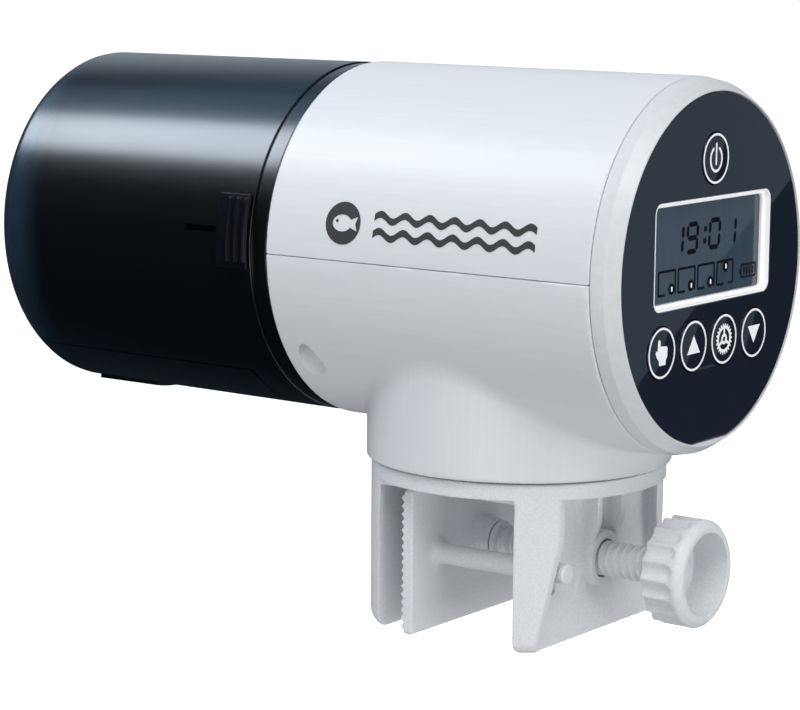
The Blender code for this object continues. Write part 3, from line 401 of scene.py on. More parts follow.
def plate(name, ends, outline, holes=(), edge=0.0, steps=2):
    """A flat piece across the X axis; outline and holes hold (y, z) points."""
    curve = bpy.data.curves.new(name, "CURVE")
    curve.dimensions = "2D"
    curve.fill_mode = "BOTH"
    curve.extrude = MM * (ends[1] - ends[0]) / 2
    for ring in (outline, *holes):
        spline = curve.splines.new("POLY")
        spline.points.add(len(ring) - 1)
        for point, (u, v) in zip(spline.points, ring):
            point.co = (MM * u, MM * v, 0.0, 1.0)
        spline.use_cyclic_u = True
    source = place(name + "_outline", curve)
    mesh = final_mesh(source)
    bpy.data.objects.remove(source, do_unlink=True)
    across = Matrix(((0, 0, 1, MM * sum(ends) / 2), (1, 0, 0, 0), (0, 1, 0, 0), (0, 0, 0, 1)))
    bm = bmesh.new()
    bm.from_mesh(mesh)
    bmesh.ops.remove_doubles(bm, verts=bm.verts, dist=0.000001)
    bmesh.ops.transform(bm, matrix=across, verts=bm.verts)
    bmesh.ops.dissolve_limit(bm, angle_limit=0.01, verts=bm.verts, edges=bm.edges)
    bmesh.ops.recalc_face_normals(bm, faces=bm.faces)
    bm.to_mesh(mesh)
    bm.free()
    item = place(name, mesh)
    if edge:
        round_edges(item, edge, steps)
    return shade(item, 20.0)


def round_edges(item, width, steps=2):
    bevel = item.modifiers.new("Edges", "BEVEL")
    bevel.width = MM * width
    bevel.segments = steps
    bevel.limit_method = "ANGLE"
    bevel.angle_limit = math.radians(40.0)
    return freeze(item)


def circle(u, v, radius, count=64):
    turns = [2 * math.pi * index / count for index in range(count)]
    return [(u + radius * math.cos(a), v + radius * math.sin(a)) for a in turns]


def around(radius, angle):
    """A point across the drum's axis; the angle counts up from the front (-Y)."""
    turn = math.radians(angle)
    return (-radius * math.cos(turn), AXIS_Z + radius * math.sin(turn))


def arc(radius, start, stop, step=2.0):
    count = max(2, round(abs(stop - start) / step) + 1)
    return [around(radius, start + (stop - start) * i / (count - 1)) for i in range(count)]


def sector(inner, outer, start, stop):
    return arc(outer, start, stop) + arc(inner, stop, start)


def rounded_rect(u, v, width, height, radius, count=6):
    points = []
    for corner, (su, sv) in enumerate(((1, 1), (-1, 1), (-1, -1), (1, -1))):
        cu = u + su * (width / 2 - radius)
        cv = v + sv * (height / 2 - radius)
        for index in range(count + 1):
            turn = math.radians(90.0 * (corner + index / count))
            points.append((cu + radius * math.cos(turn), cv + radius * math.sin(turn)))
    return points


def combine(item, operation, *tools):
    """Joins tools to a piece, cuts them out of it, or keeps what they share."""
    for tool in tools:
        step = item.modifiers.new("Step", "BOOLEAN")
        step.operation = operation
        step.solver = "EXACT"
        step.object = tool
        freeze(item)
        bpy.data.objects.remove(tool, do_unlink=True)
    return item


def gather(name, *items):
    """Makes one piece of several."""
    bm = bmesh.new()
    for item in items:
        bm.from_mesh(item.data)
        bpy.data.objects.remove(item, do_unlink=True)
    return shade(store(name, bm), 20.0)


# ---- materials

def shader_material(name, **values):
    mat = bpy.data.materials.new(name)
    mat.use_nodes = True
    shader = principled(mat)
    for socket, value in values.items():
        shader.inputs[socket.replace("_", " ")].default_value = value
    return mat


def node(owner, kind, **values):
    """A new node of a material or a world; values set its own options or its inputs by name."""
    made = owner.node_tree.nodes.new("ShaderNode" + kind)
    for name, value in values.items():
        if hasattr(made, name):
            setattr(made, name, value)
        else:
            made.inputs[name.replace("_", " ")].default_value = value
    return made


def wire(owner, output, target):
    owner.node_tree.links.new(output, target)


def principled(mat):
    return mat.node_tree.nodes["Principled BSDF"]


def ranged(owner, source, start, end, **values):
    """Maps source, from between start and end, to between 0 and 1 or what values say."""
    made = node(owner, "MapRange", From_Min=start, From_Max=end, **values)
    wire(owner, source, made.inputs["Value"])
    return made.outputs["Result"]


def grain(mat, scale, stretch=(1.0, 1.0, 1.0), detail=3.0):
    """Noise in the piece's own coordinates; scale is features per metre."""
    where = node(mat, "TexCoord")
    size = node(mat, "Mapping", Scale=tuple(scale * s for s in stretch))
    noise = node(mat, "TexNoise", Scale=1.0, Detail=detail, Roughness=0.55)
    wire(mat, where.outputs["Object"], size.inputs["Vector"])
    wire(mat, size.outputs["Vector"], noise.inputs["Vector"])
    return noise.outputs["Fac"]


def spread(mat, source, low, high):
    """Maps noise to between low and high."""
    return ranged(mat, source, 0.3, 0.7, To_Min=low, To_Max=high)


def shift_color(mat, factor, low, high):
    """Colours the surface between two colours, as factor goes from 0 to 1."""
    mix = node(mat, "Mix", data_type="RGBA")
    mix.inputs[6].default_value = (*low, 1.0)
    mix.inputs[7].default_value = (*high, 1.0)
    wire(mat, factor, mix.inputs[0])
    wire(mat, mix.outputs[2], principled(mat).inputs["Base Color"])


def tint(mat, source, low, high):
    """Colours the surface between two colours by noise."""
    shift_color(mat, spread(mat, source, 0.0, 1.0), low, high)


def roughen(mat, source, low, high):
    wire(mat, spread(mat, source, low, high), principled(mat).inputs["Roughness"])


def emboss(mat, source, distance):
    """Bumps the surface by noise; distance is in millimetres."""
    bump = node(mat, "Bump", Distance=MM * distance)
    wire(mat, source, bump.inputs["Height"])
    wire(mat, bump.outputs["Normal"], principled(mat).inputs["Normal"])


def body_white():
    """Satin white plastic with faint streaks: along the housing, and upright on the neck."""
    mat = shader_material("body_white_satin", Coat_Weight=0.15, Coat_Roughness=0.25)
    where = node(mat, "TexCoord")
    centred = node(mat, "VectorMath", operation="SUBTRACT")
    centred.inputs[1].default_value = (0.0, 0.0, MM * AXIS_Z)
    flat = node(mat, "VectorMath", operation="MULTIPLY")
    flat.inputs[1].default_value = (0.0, 1.0, 1.0)
    reach = node(mat, "VectorMath", operation="LENGTH")
    streaks = node(mat, "Mix", data_type="FLOAT")
    wire(mat, where.outputs["Object"], centred.inputs[0])
    wire(mat, centred.outputs["Vector"], flat.inputs[0])
    wire(mat, flat.outputs["Vector"], reach.inputs[0])
    on_neck = ranged(mat, reach.outputs["Value"], MM * (BODY_R + 0.1), MM * (BODY_R + 0.6))
    wire(mat, on_neck, streaks.inputs[0])
    wire(mat, grain(mat, 1.0, (60.0, 1400.0, 1400.0)), streaks.inputs[2])
    wire(mat, grain(mat, 1.0, (1100.0, 1100.0, 40.0)), streaks.inputs[3])
    tint(mat, streaks.outputs[0], (0.745, 0.76, 0.782), (0.772, 0.785, 0.805))
    roughen(mat, streaks.outputs[0], 0.38, 0.46)
    emboss(mat, streaks.outputs[0], 0.003)
    return mat


def clamp_white():
    """White glass-filled plastic with a fine speckled grain."""
    mat = shader_material("clamp_white_grained")
    speckle = grain(mat, 3000.0, detail=4.0)
    tint(mat, speckle, (0.72, 0.735, 0.76), (0.84, 0.85, 0.865))
    roughen(mat, grain(mat, 400.0), 0.42, 0.56)
    emboss(mat, speckle, 0.06)
    return mat


def moulded(name, low, high, rough, bump=0.005, scales=(900.0, 450.0, 1800.0), **values):
    """A finish of two close colours, a roughness range and a fine bump, by noise of three scales."""
    mat = shader_material(name, **values)
    tint(mat, grain(mat, scales[0]), low, high)
    roughen(mat, grain(mat, scales[1]), *rough)
    if bump:
        emboss(mat, grain(mat, scales[2]), bump)
    return mat


def smoked_plastic():
    """Tinted clear plastic of the drum and its hatch. Its dark smoked base colour carries painted light:
    it turns lighter navy at the closed end's front, standing in for light that comes in through the end
    wall.
    """
    mat = shader_material("smoked_clear", Transmission_Weight=0.9, IOR=1.5, Coat_Weight=1.0,
                          Coat_Roughness=0.27, Coat_IOR=1.7)
    where = node(mat, "TexCoord")
    slant = node(mat, "VectorMath", operation="DOT_PRODUCT")
    slant.inputs[1].default_value = (1.0, 0.3, 0.0)
    wire(mat, where.outputs["Object"], slant.inputs[0])
    # Painted light: this ramp lightens the base colour towards the closed end's front, as light through
    # the end wall would.
    along = ranged(mat, slant.outputs["Value"], MM * (DRUM_X0 - 6.0), MM * (DRUM_X0 + 1.5),
                   interpolation_type="SMOOTHSTEP")
    shift_color(mat, along, (0.12, 0.23, 0.34), (0.004, 0.008, 0.016))
    roughen(mat, grain(mat, 1.0, (60.0, 300.0, 300.0), 1.0), 0.2, 0.26)
    emboss(mat, grain(mat, 1500.0), 0.003)
    return mat


def lcd_glass():
    mat = shader_material("lcd_blue_grey")
    tint(mat, grain(mat, 1.0, (1.0, 400.0, 90.0)), (0.047, 0.071, 0.100), (0.053, 0.078, 0.108))
    roughen(mat, grain(mat, 200.0), 0.012, 0.03)
    return mat


def ink(name, color, painted_glow=0.0):
    """Printed ink with a slightly uneven film. Its emission is painted light, which the ink gives off
    though it is no lamp, so that a white one stands out.
    """
    darker = tuple(0.93 * part for part in color)
    return moulded(name, darker, color, (0.4, 0.55), 0.0, (1500.0, 900.0), Specular_IOR_Level=0.15,
                   Emission_Color=(1.0, 1.0, 1.0, 1.0), Emission_Strength=painted_glow)


def brushed(name, low, high, rough):
    """Turned or drawn metal with fine lines."""
    mat = shader_material(name, Metallic=1.0)
    lines = grain(mat, 1.0, (3000.0, 200.0, 3000.0))
    tint(mat, lines, low, high)
    roughen(mat, lines, *rough)
    emboss(mat, lines, 0.004)
    return mat


def cell_jacket():
    """A plain printed battery jacket: dark with a copper band at one end."""
    mat = shader_material("cell_jacket", Metallic=0.5)
    where = node(mat, "TexCoord")
    split = node(mat, "SeparateXYZ")
    band = node(mat, "Math", operation="GREATER_THAN")
    band.inputs[1].default_value = MM * (middle("battery_cell_low", 0) + 12.0)
    wire(mat, where.outputs["Object"], split.inputs["Vector"])
    wire(mat, split.outputs["X"], band.inputs[0])
    shift_color(mat, band.outputs["Value"], (0.03, 0.032, 0.036), (0.55, 0.27, 0.12))
    roughen(mat, grain(mat, 400.0), 0.22, 0.34)
    return mat


def dress(item, mat):
    item.data.materials.clear()
    item.data.materials.append(mat)
    return item


def fit(item, mat, body, slot, *nodes):
    """Gives a piece its material and the body it rides on, and hides the nodes it stands for; slot is not
    used.
    """
    dress(item, mat)
    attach(item, body)
    if nodes:
        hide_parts(*nodes)
    return item


# ---- clamp

def clamp_shape(x, y, z):
    """The flange with its fixed jaw, and the bracket's plate, gussets and boss."""
    across = np.hypot(x - SWIVEL_X, y)
    solid = overlap(across - FLANGE_R, CLAMP_Z0 - z, 2.6)
    solid = overlap(solid, z - FLANGE_Z1, 0.4)
    mouth = (JAW_FACE_X, BRACKET_X0)
    solid = carve(solid, block(x, y, z, (mouth, WIDE, (-BIG, 0.0)), 0.3), 0.4)
    step = block(x, np.abs(y), z, (mouth, (SEAT_HALF_Y, BIG), (-3.0, FLANGE_Z0)), 0.2)
    solid = carve(solid, step, 0.3)
    solid = carve(solid, jaw_hollow(x, y, z, across), 0.35)
    solid = carve(solid, bracket_hollow(x, y, z, across), 0.3)
    lean = np.minimum(GUSSET_EDGE_X, GUSSET_EDGE_X + (z - GUSSET_KNEE_Z) * GUSSET_LEAN)
    solid = carve(solid, overlap(lean - x, z - FLANGE_Z0, 0.3), 0.35)
    solid = carve(solid, rod(x, np.hypot(y, z - SCREW_Z), SCREW_HOLE_R, BRACKET_HOLES_X), 0.3)
    side = np.abs(y - ROD_Y)
    solid = carve(solid, rod(x, np.hypot(side, z - ROD_Z), ROD_R + 0.3, BRACKET_HOLES_X), 0.3)
    slot = ((20.0, 31.0), (-1.8, 1.8), (ROD_Z - 4.4, ROD_Z))
    solid = carve(solid, block(x, side, z, slot, 0.2), 0.3)
    solid = carve(solid, rod(z, across, WASHER_SEAT_R, (-3.0, WASHER_SEAT_Z)), 0.3)
    return carve(solid, rod(z, across, SWIVEL_PILOT_R, (-3.0, 9.0)), 0.2)


def jaw_hollow(x, y, z, across):
    """The space behind the fixed jaw, with two ribs across it."""
    hollow = overlap(across - (FLANGE_R - 2.0), x - (JAW_FACE_X - 2.2), 1.2)
    hollow = overlap(hollow, z + 1.2, 0.8)
    return carve(hollow, np.abs(np.abs(y) - 7.5) - 0.7, 1.0)


def bracket_hollow(x, y, z, across):
    """The space behind the bracket's plate, with its gussets and the screw's boss left in."""
    hollow = overlap(across - LEG_INNER_R, BRACKET_X1 - x, 1.6)
    hollow = overlap(hollow, z - FLANGE_Z0, 0.7)
    edge = np.maximum(30.4 + (z + 13.7) * 0.365, 28.0)
    gusset = overlap(np.abs(np.abs(y) - 4.0) - 0.7, x - edge, 0.3)
    hollow = carve(hollow, gusset, 1.8)
    boss = rod(x, np.hypot(y, z - SCREW_Z), SCREW_BOSS_R, (20.0, SCREW_BOSS_X1), 0.3)
    return carve(hollow, boss, 0.3)


def make_clamp():
    spans = ((CLAMP_X0, GUSSET_EDGE_X + 7.0), (-FLANGE_R, FLANGE_R), (CLAMP_Z0, FLANGE_Z1))
    return cast("clamp_moulding", clamp_shape, spans, 0.36)


def jaw_shape(x, y, z):
    """The sliding plate with its teeth, guide rod and the socket for the screw's foot."""
    plate_x = (JAW_VALLEY_X, JAW_BACK_X)
    solid = block(x, y, z, (plate_x, (-JAW_HALF_Y, JAW_HALF_Y), (JAW_Z0, JAW_Z1)), 0.45)
    start = JAW_Z1 - 0.7
    wave = np.abs(((start - z) / TOOTH_PITCH) % 1.0 - 0.5) * 2.0
    face = JAW_TIP_X + (JAW_VALLEY_X - JAW_TIP_X) * wave + 0.05
    tooth_z = np.abs(z - (start + JAW_Z0 + 0.8) / 2) - (start - JAW_Z0 - 0.8) / 2
    teeth = overlap((face - x) * 0.75, np.maximum(np.abs(y) - JAW_HALF_Y, tooth_z), 0.3)
    solid = merge(solid, np.maximum(teeth, x - JAW_BACK_X + 0.8), 0.15)
    side = np.hypot(y - ROD_Y, z - ROD_Z)
    solid = merge(solid, rod(x, side, ROD_R, (JAW_BACK_X - 1.0, ROD_END_X), 0.5), 1.8)
    centre = np.hypot(y, z - SCREW_Z)
    solid = merge(solid, rod(x, centre, 4.5, (4.4, 7.3), 0.3), 0.8)
    solid = merge(solid, rod(x, centre, 3.9, (4.4, 8.9), 0.3), 0.3)
    return carve(solid, rod(x, centre, 3.4, (5.9, 12.0)), 0.2)


def make_cap():
    """The small ring that holds the screw's foot in its socket."""
    low, high = span("screw_cap", 0)
    profile = [(high, 2.35, 0.1), (high, 3.8, 0.4), (low, 3.8, 0.1), (low, 2.35)]
    return lathe("foot_cap", profile, (0.0, SCREW_Z), steps=64)


def screw_shape(x, y, z):
    """The foot, its neck and a right-hand thread up to the knob."""
    across = np.hypot(y, z - SCREW_Z)
    turn = np.arctan2(z - SCREW_Z, y) / (2 * math.pi)
    wave = np.abs((x / THREAD_PITCH - turn) % 1.0 - 0.5) * 2.0
    ridge = np.clip(2.2 * wave - 0.6, 0.0, 1.0)
    fade = np.clip((x - THREAD_X0) / THREAD_PITCH, 0.0, 1.0)
    thread = (across - (THREAD_R - THREAD_DEPTH) - THREAD_DEPTH * ridge * fade) * 0.8
    ends = np.abs(x - (THREAD_X0 + KNOB_X0) / 2) - (KNOB_X0 - THREAD_X0) / 2 - 0.5
    thread = overlap(thread, ends, 0.3)
    solid = merge(thread, rod(x, across, 2.0, (FOOT_X0 + 1.0, THREAD_X0 + 1.0)), 0.3)
    return merge(solid, rod(x, across, 3.1, (FOOT_X0, FOOT_X0 + 2.4), 0.4), 0.2)


def round_screw(radius, *ends):
    """The space within a radius of the screw's axis."""
    return (ends, (-radius, radius), (SCREW_Z - radius, SCREW_Z + radius))


def knob_shape(x, y, z):
    """The fluted knob: a rounded rim round a recess with a low dome in it."""
    across = np.hypot(y, z - SCREW_Z)
    turn = np.arctan2(z - SCREW_Z, y)
    pitch = 2 * math.pi / FLUTE_COUNT
    local = (turn % pitch) - pitch / 2
    solid = overlap(across - KNOB_R, x - KNOB_X1, 0.7)
    solid = overlap(solid, 0.7 * (across - KNOB_R) + 0.7 * (x - KNOB_X1) + 0.75, 0.3)
    solid = overlap(solid, KNOB_X0 - x, 0.6)
    end = np.maximum(x - (KNOB_X1 - 3.3), 0.0)
    ring = KNOB_R + 0.85
    flute = np.sqrt((across * np.cos(local) - ring) ** 2 + (across * np.sin(local)) ** 2 + end ** 2)
    solid = carve(solid, flute - FLUTE_R, 0.25)
    solid = carve(solid, rod(x, across, RECESS_R, (RECESS_X0, BIG), 0.3), 0.15)
    dome = np.hypot(x - DOME_X, across) - DOME_R
    return merge(solid, np.maximum(dome, KNOB_X0 + 0.4 - x), 0.2)


# ---- housing

def shell_bore(x, across):
    """The space inside the housing, and the bush's hole in its end wall."""
    hollow = rod(x, across, BODY_BORE_R, (BODY_X0 + SHELL_WALL, BIG), 0.6)
    return merge(hollow, rod(x, across, BUSH_HOLE_R, (BODY_X0 - 5.0, 0.0)), 0.2)


def post_across(x, y):
    """The distance from the axes of the two screws that hold the shells together."""
    return np.hypot(x - SHELL_SCREW_X, np.abs(y) - SHELL_SCREW_Y)


def lower_shape(x, y, z):
    """The lower half of the housing with the neck blended into it."""
    across = np.hypot(y, z - AXIS_Z)
    swivel = np.hypot(x - SWIVEL_X, y)
    neck = rod(z, swivel, NECK_R, (NECK_Z0, AXIS_Z), 0.3)
    solid = merge(rod(x, across, BODY_R, (BODY_X0, BODY_X1), 0.3), neck, 1.3)
    neck_bore = rod(z, swivel, NECK_BORE_R, (NECK_Z0 + 2.0, AXIS_Z), 0.6)
    hollow = merge(shell_bore(x, across), neck_bore, 1.0)
    hollow = carve(hollow, rod(z, swivel, 4.2, (NECK_Z0, 16.0), 0.3), 0.8)
    hollow = carve(hollow, rod(z, post_across(x, y), 4.1, (AXIS_Z - 30.0, AXIS_Z)), 0.6)
    solid = carve(solid, hollow, 0.3)
    solid = carve(solid, rod(z, swivel, 1.8, (0.0, 20.0)), 0.1)
    return overlap(solid, z - (AXIS_Z - PARTING_GAP), PARTING_EDGE)


def make_lower_shell():
    """The lower half, with a deep well for each screw cut cleanly into its skin."""
    spans = ((BODY_X0, BODY_X1), (-BODY_R, BODY_R), (NECK_Z0, AXIS_Z - PARTING_GAP))
    shell = cast("housing_lower", lower_shape, spans, 0.45)
    foot, top = SCREW_WELL_Z
    profile = [(top, 0.0), (top, SCREW_WELL_R, 0.6), (foot, SCREW_WELL_R), (foot, 0.0)]
    for side in (-1, 1):
        hole = lathe("hole", profile, (SHELL_SCREW_X, side * SHELL_SCREW_Y), "Z", 64)
        combine(shell, "DIFFERENCE", hole)
    return shade(shell)


def door_outline(x, y, z, gap, radius):
    """The distance along the housing's skin from the edge of the battery door, less a gap."""
    low, high = (math.radians(angle) * BODY_R for angle in DOOR_ANGLES)
    along = np.arctan2(z - AXIS_Z, y) * BODY_R
    u = np.abs(x - sum(DOOR_X) / 2) - (DOOR_X[1] - DOOR_X[0]) / 2 - gap + radius
    v = np.abs(along - (low + high) / 2) - (high - low) / 2 - gap + radius
    return corner(u, v) - radius


def upper_shape(x, y, z):
    """The upper half of the housing with its posts and the opening for the battery door."""
    across = np.hypot(y, z - AXIS_Z)
    solid = rod(x, across, BODY_R, (BODY_X0, BODY_X1), 0.3)
    post = rod(z, post_across(x, y), 2.9, (AXIS_Z, AXIS_Z + 12.5))
    solid = carve(solid, carve(shell_bore(x, across), post, 0.6), 0.3)
    opening = np.maximum(door_outline(x, y, z, 0.3, 1.2), BODY_BORE_R - 2.0 - across)
    solid = carve(solid, opening, 0.4)
    return overlap(solid, AXIS_Z + PARTING_GAP - z, PARTING_EDGE)


def make_upper_shell():
    spans = ((BODY_X0, BODY_X1), (-BODY_R, BODY_R), (AXIS_Z + PARTING_GAP, AXIS_Z + BODY_R))
    return cast("housing_upper", upper_shape, spans, 0.45)


def door_shape(x, y, z):
    """The curved battery door with three ridges for a finger."""
    across = np.hypot(y, z - AXIS_Z)
    middle_r = (DOOR_INNER_R + BODY_R) / 2
    skin = np.abs(across - middle_r) - (BODY_R - DOOR_INNER_R) / 2
    solid = overlap(skin, door_outline(x, y, z, -0.05, 1.0), 0.5)
    reach = BODY_R - 0.3
    for offset in (5.6, 7.8, 10.0):
        turn = math.radians(DOOR_ANGLES[1] - offset)
        side = np.hypot(y - reach * math.cos(turn), z - AXIS_Z - reach * math.sin(turn))
        solid = merge(solid, rod(x, side, 0.75, (9.0, 21.0), 0.7), 0.5)
    return solid


def lens_outline(radius):
    """A circle round the axis, cut off flat at the lens's foot."""
    half = math.degrees(math.asin((AXIS_Z - PANEL_FOOT_Z) / PANEL_R))
    return arc(radius, -half, 180.0 + half, 1.5)


def display_rect(width, height, radius):
    return rounded_rect(DISPLAY_Y, DISPLAY_Z, width, height, radius)


def make_ring():
    """The front ring: a side band, a cone and the lens's pocket with its flat foot."""
    shoulder = 50.8
    edge = RING_R - 0.45 - 0.667 * (RING_X1 - shoulder)
    band = RING_R - 0.205 * (shoulder - RING_X0)
    profile = [(45.0, 29.2), (RING_X1, 29.2), (RING_X1, edge, 0.1), (shoulder, band, 0.3),
               (RING_X0, RING_R, 0.18), (RING_X0, BODY_BORE_R - 0.3, 0.1), (45.0, BODY_BORE_R - 0.3)]
    ring = lathe("lens_ring", profile, (0.0, AXIS_Z), steps=240)
    pocket = plate("pocket", (PANEL_X0 - LENS_GAP, RING_X1 + 2.0), lens_outline(PANEL_R + LENS_GAP))
    combine(ring, "DIFFERENCE", pocket)
    round_edges(ring, 0.06)
    return shade(ring)


def make_lens():
    holes = [display_rect(*DISPLAY_OPENING, 2.0)]
    holes += [circle(middle(key, 1), middle(key, 2), KEY_HOLE_R) for key in KEYS]
    return plate("lens", (PANEL_X0, PANEL_X1), lens_outline(PANEL_R), holes, 0.12)


def make_display_frame():
    """The white tray round the display: a flange behind the lens, a sill, and a lip in the
    lens's opening."""
    lip = display_rect(39.7, 18.4, 1.9)
    inner = display_rect(39.1, 17.8, 1.6)
    window = display_rect(*DISPLAY_WINDOW, 0.8)
    wide = display_rect(43.0, 20.4, 1.0)
    parts = (plate("lip", (PANEL_X0 - 0.7, PANEL_X1 - 0.06), lip, [inner], 0.05, 1),
             plate("sill", (PANEL_X0 - 0.7, FRAME_FRONT_X), inner, [window], 0.08, 1),
             plate("flange", (PANEL_X0 - 1.8, PANEL_X0 - 0.65), wide, [window], 0.1, 1))
    return gather("display_frame", *parts)


def make_display_glass():
    width, height = DISPLAY_WINDOW
    outline = display_rect(width - 0.2, height - 0.2, 0.7)
    return plate("display_glass", span("lcd_module", 0), outline, (), 0.08, 1)


# ---- display figures

def bar(u0, v0, u1, v1, width, point=0.5):
    """A display segment from one point to another; point is how far its ends taper."""
    along = Vector((u1 - u0, v1 - v0)).normalized()
    side = Vector((-along.y, along.x)) * width / 2
    inset = along * width * point
    start, end = Vector((u0, v0)), Vector((u1, v1))
    return [tuple(p) for p in (start, start + inset + side, end - inset + side, end,
                               end - inset - side, start + inset - side)]


SEGMENTS = {
    "top": ((0, 2), (1, 2)), "upper left": ((0, 1), (0, 2)), "upper right": ((1, 1), (1, 2)),
    "centre": ((0, 1), (1, 1)), "lower left": ((0, 0), (0, 1)), "lower right": ((1, 0), (1, 1)),
    "bottom": ((0, 0), (1, 0)),
}
FIGURES = {
    "0": ("top", "upper left", "upper right", "lower left", "lower right", "bottom"),
    "1": ("upper right", "lower right"),
    "9": ("top", "upper left", "upper right", "centre", "lower right", "bottom"),
}
MEAL_PITCH = 6.6


def digit(figure, right, base, width=3.35, half=2.35, stroke=0.86, slant=0.09):
    """The segments of one figure; right is where its right-hand strokes stand."""
    shapes = []
    for name in FIGURES[figure]:
        ends = []
        for column, row in SEGMENTS[name]:
            height = row * half
            ends.append((right - width * (1 - column) + slant * height, base + height))
        (u0, v0), (u1, v1) = ends
        trim = Vector((u1 - u0, v1 - v0)).normalized() * 0.12
        shapes.append(bar(u0 + trim.x, v0 + trim.y, u1 - trim.x, v1 - trim.y, stroke))
    return shapes


def box_outline(u, v, width, height, line, foot=1.0):
    """A box's four sides down from its upper left corner; foot is the share its foot covers."""
    rect = ((u, v, u + width, v), (u + width, v, u + width, v - height), (u, v, u, v - height),
            (u, v - height, u + foot * width, v - height))
    return [bar(*side, line, 0.0) for side in rect]


def display_shapes():
    """Outlines of everything dark on the display, measured from its middle."""
    shapes = digit("1", -8.3, -0.05) + digit("9", -3.4, -0.1)
    shapes += digit("0", 4.2, 0.05) + digit("1", 9.8, 0.0)
    shapes += [rounded_rect(-0.75 + 0.09 * v, v, 0.95, 0.95, 0.2, 2) for v in (1.35, 3.45)]
    for index in range(4):
        shapes += box_outline(-15.9 + MEAL_PITCH * index, -2.75, 5.6, 4.05, 0.42, 0.42)
    shapes.append(bar(8.0, -6.8, 9.5, -6.8, 0.4, 0.0))
    shapes += battery_mark(12.5, -4.1)
    return shapes


def battery_mark(u, v):
    """A battery with four bars and a small terminal on its left."""
    shapes = box_outline(u, v, 5.1, 2.2, 0.44)
    shapes += [rounded_rect(u + 1.05 + 1.0 * i, v - 1.1, 0.68, 1.35, 0.1, 1) for i in range(4)]
    shapes.append(rounded_rect(u - 0.45, v - 1.1, 0.45, 0.9, 0.1, 1))
    return shapes


def display_print(name, shapes, lift=0.0, thickness=PRINT):
    """Thin figures just proud of the display's face, as one piece."""
    back = LCD_FRONT_X + lift + 0.005
    pieces = []
    for shape in shapes:
        outline = [(DISPLAY_Y + u, DISPLAY_Z + v) for u, v in shape]
        pieces.append(plate("figure", (back, back + thickness), outline))
    return gather(name, *pieces)


def meal_marks():
    """The round marks in the meal boxes: low on the right in three, high in the fourth."""
    return [(-11.6 + MEAL_PITCH * index, -5.95) for index in range(3)] + [(6.9, -3.75)]


# ---- key symbols

def power_symbol():
    """A ring open at the top, with an upright bar in the gap."""
    gap = 26.0
    turns = [math.radians(90.0 + gap + (360.0 - 2 * gap) * i / 40) for i in range(41)]
    outer = [(2.15 * math.cos(a), 2.3 * math.sin(a) - 0.1) for a in turns]
    inner = [(1.7 * math.cos(a), 1.85 * math.sin(a) - 0.1) for a in reversed(turns)]
    return [outer + inner, rounded_rect(0.0, 0.8, 0.44, 3.9, 0.2)]


def hand_symbol():
    """A pointing hand: one finger up, a thumb, a palm and a cuff."""
    return [[(-1.3, 2.1), (-0.95, 2.4), (-0.55, 2.1), (-0.5, 1.2), (1.45, 1.05), (1.8, 0.75),
             (1.75, -0.7), (1.3, -1.3), (1.25, -2.1), (-0.85, -2.1), (-0.95, -1.3), (-1.7, -0.6),
             (-2.05, 0.1), (-1.9, 0.55), (-1.4, 0.35)]]


def arrow_symbol(sign):
    return [[(-2.15, -1.35 * sign), (2.15, -1.35 * sign), (0.0, 1.8 * sign)]]


def gear_symbol():
    """A toothed ring round a hub on three spokes."""
    teeth = []
    for index in range(22):
        for lean, radius in ((-0.3, 2.35), (-0.15, 2.75), (0.15, 2.75), (0.3, 2.35)):
            turn = 2 * math.pi * (index + lean) / 22
            teeth.append((radius * math.cos(turn), radius * math.sin(turn)))
    hub = circle(0.0, 0.0, 0.95, 32)
    shapes = [(teeth, circle(0.0, 0.0, 1.85, 32)), (hub, circle(0.0, 0.0, 0.45, 24))]
    for angle in (90.0, 210.0, 330.0):
        turn = math.radians(angle)
        u, v = math.cos(turn), math.sin(turn)
        shapes.append(bar(0.85 * u, 0.85 * v, 1.95 * u, 1.95 * v, 0.5, 0.0))
    return shapes


SYMBOLS = {
    "key_power": power_symbol(),
    "key_feed": hand_symbol(),
    "key_up": arrow_symbol(1),
    "key_set": gear_symbol(),
    "key_down": arrow_symbol(-1),
}


def make_key(key):
    """A round key cap with a flange behind the lens and a stem."""
    back, front = span(key, 0)
    front -= KEY_FACE_DEPTH
    radius = KEY_HOLE_R - 0.2
    profile = [(front, 0.0), (front, radius, 0.15), (50.4, radius), (50.4, 4.95, 0.1), (49.4, 4.95),
               (49.4, 2.0), (back, 2.0), (back, 0.0)]
    return lathe(key + "_cap", profile, (middle(key, 1), middle(key, 2)), steps=72)


def rings_of(shape):
    """A shape is one outline, or a tuple of an outline and the outlines of its holes."""
    return shape if isinstance(shape, tuple) else (shape,)


def make_key_print(key):
    """The white ring and symbol on a key's face."""
    y, z = middle(key, 1), middle(key, 2)
    front = span(key, 0)[1] - KEY_PRINT_DEPTH
    ends = (front, front + PRINT)
    pieces = [plate("ring", ends, circle(y, z, 4.36), [circle(y, z, 3.98)])]
    for shape in SYMBOLS[key]:
        moved = [[(y + u, z + v) for u, v in ring] for ring in rings_of(shape)]
        pieces.append(plate("symbol", ends, moved[0], moved[1:]))
    return gather(key + "_symbol", *pieces)


# ---- mark on the housing

def wrap(item, radius):
    """Bends a flat piece, drawn as (x, height above the axis), round the housing's front."""
    for vert in item.data.vertices:
        lift = radius + vert.co.z / MM
        turn = vert.co.y / MM / radius
        vert.co.y = -MM * lift * math.cos(turn)
        vert.co.z = MM * (AXIS_Z + lift * math.sin(turn))
    item.data.update()
    return item


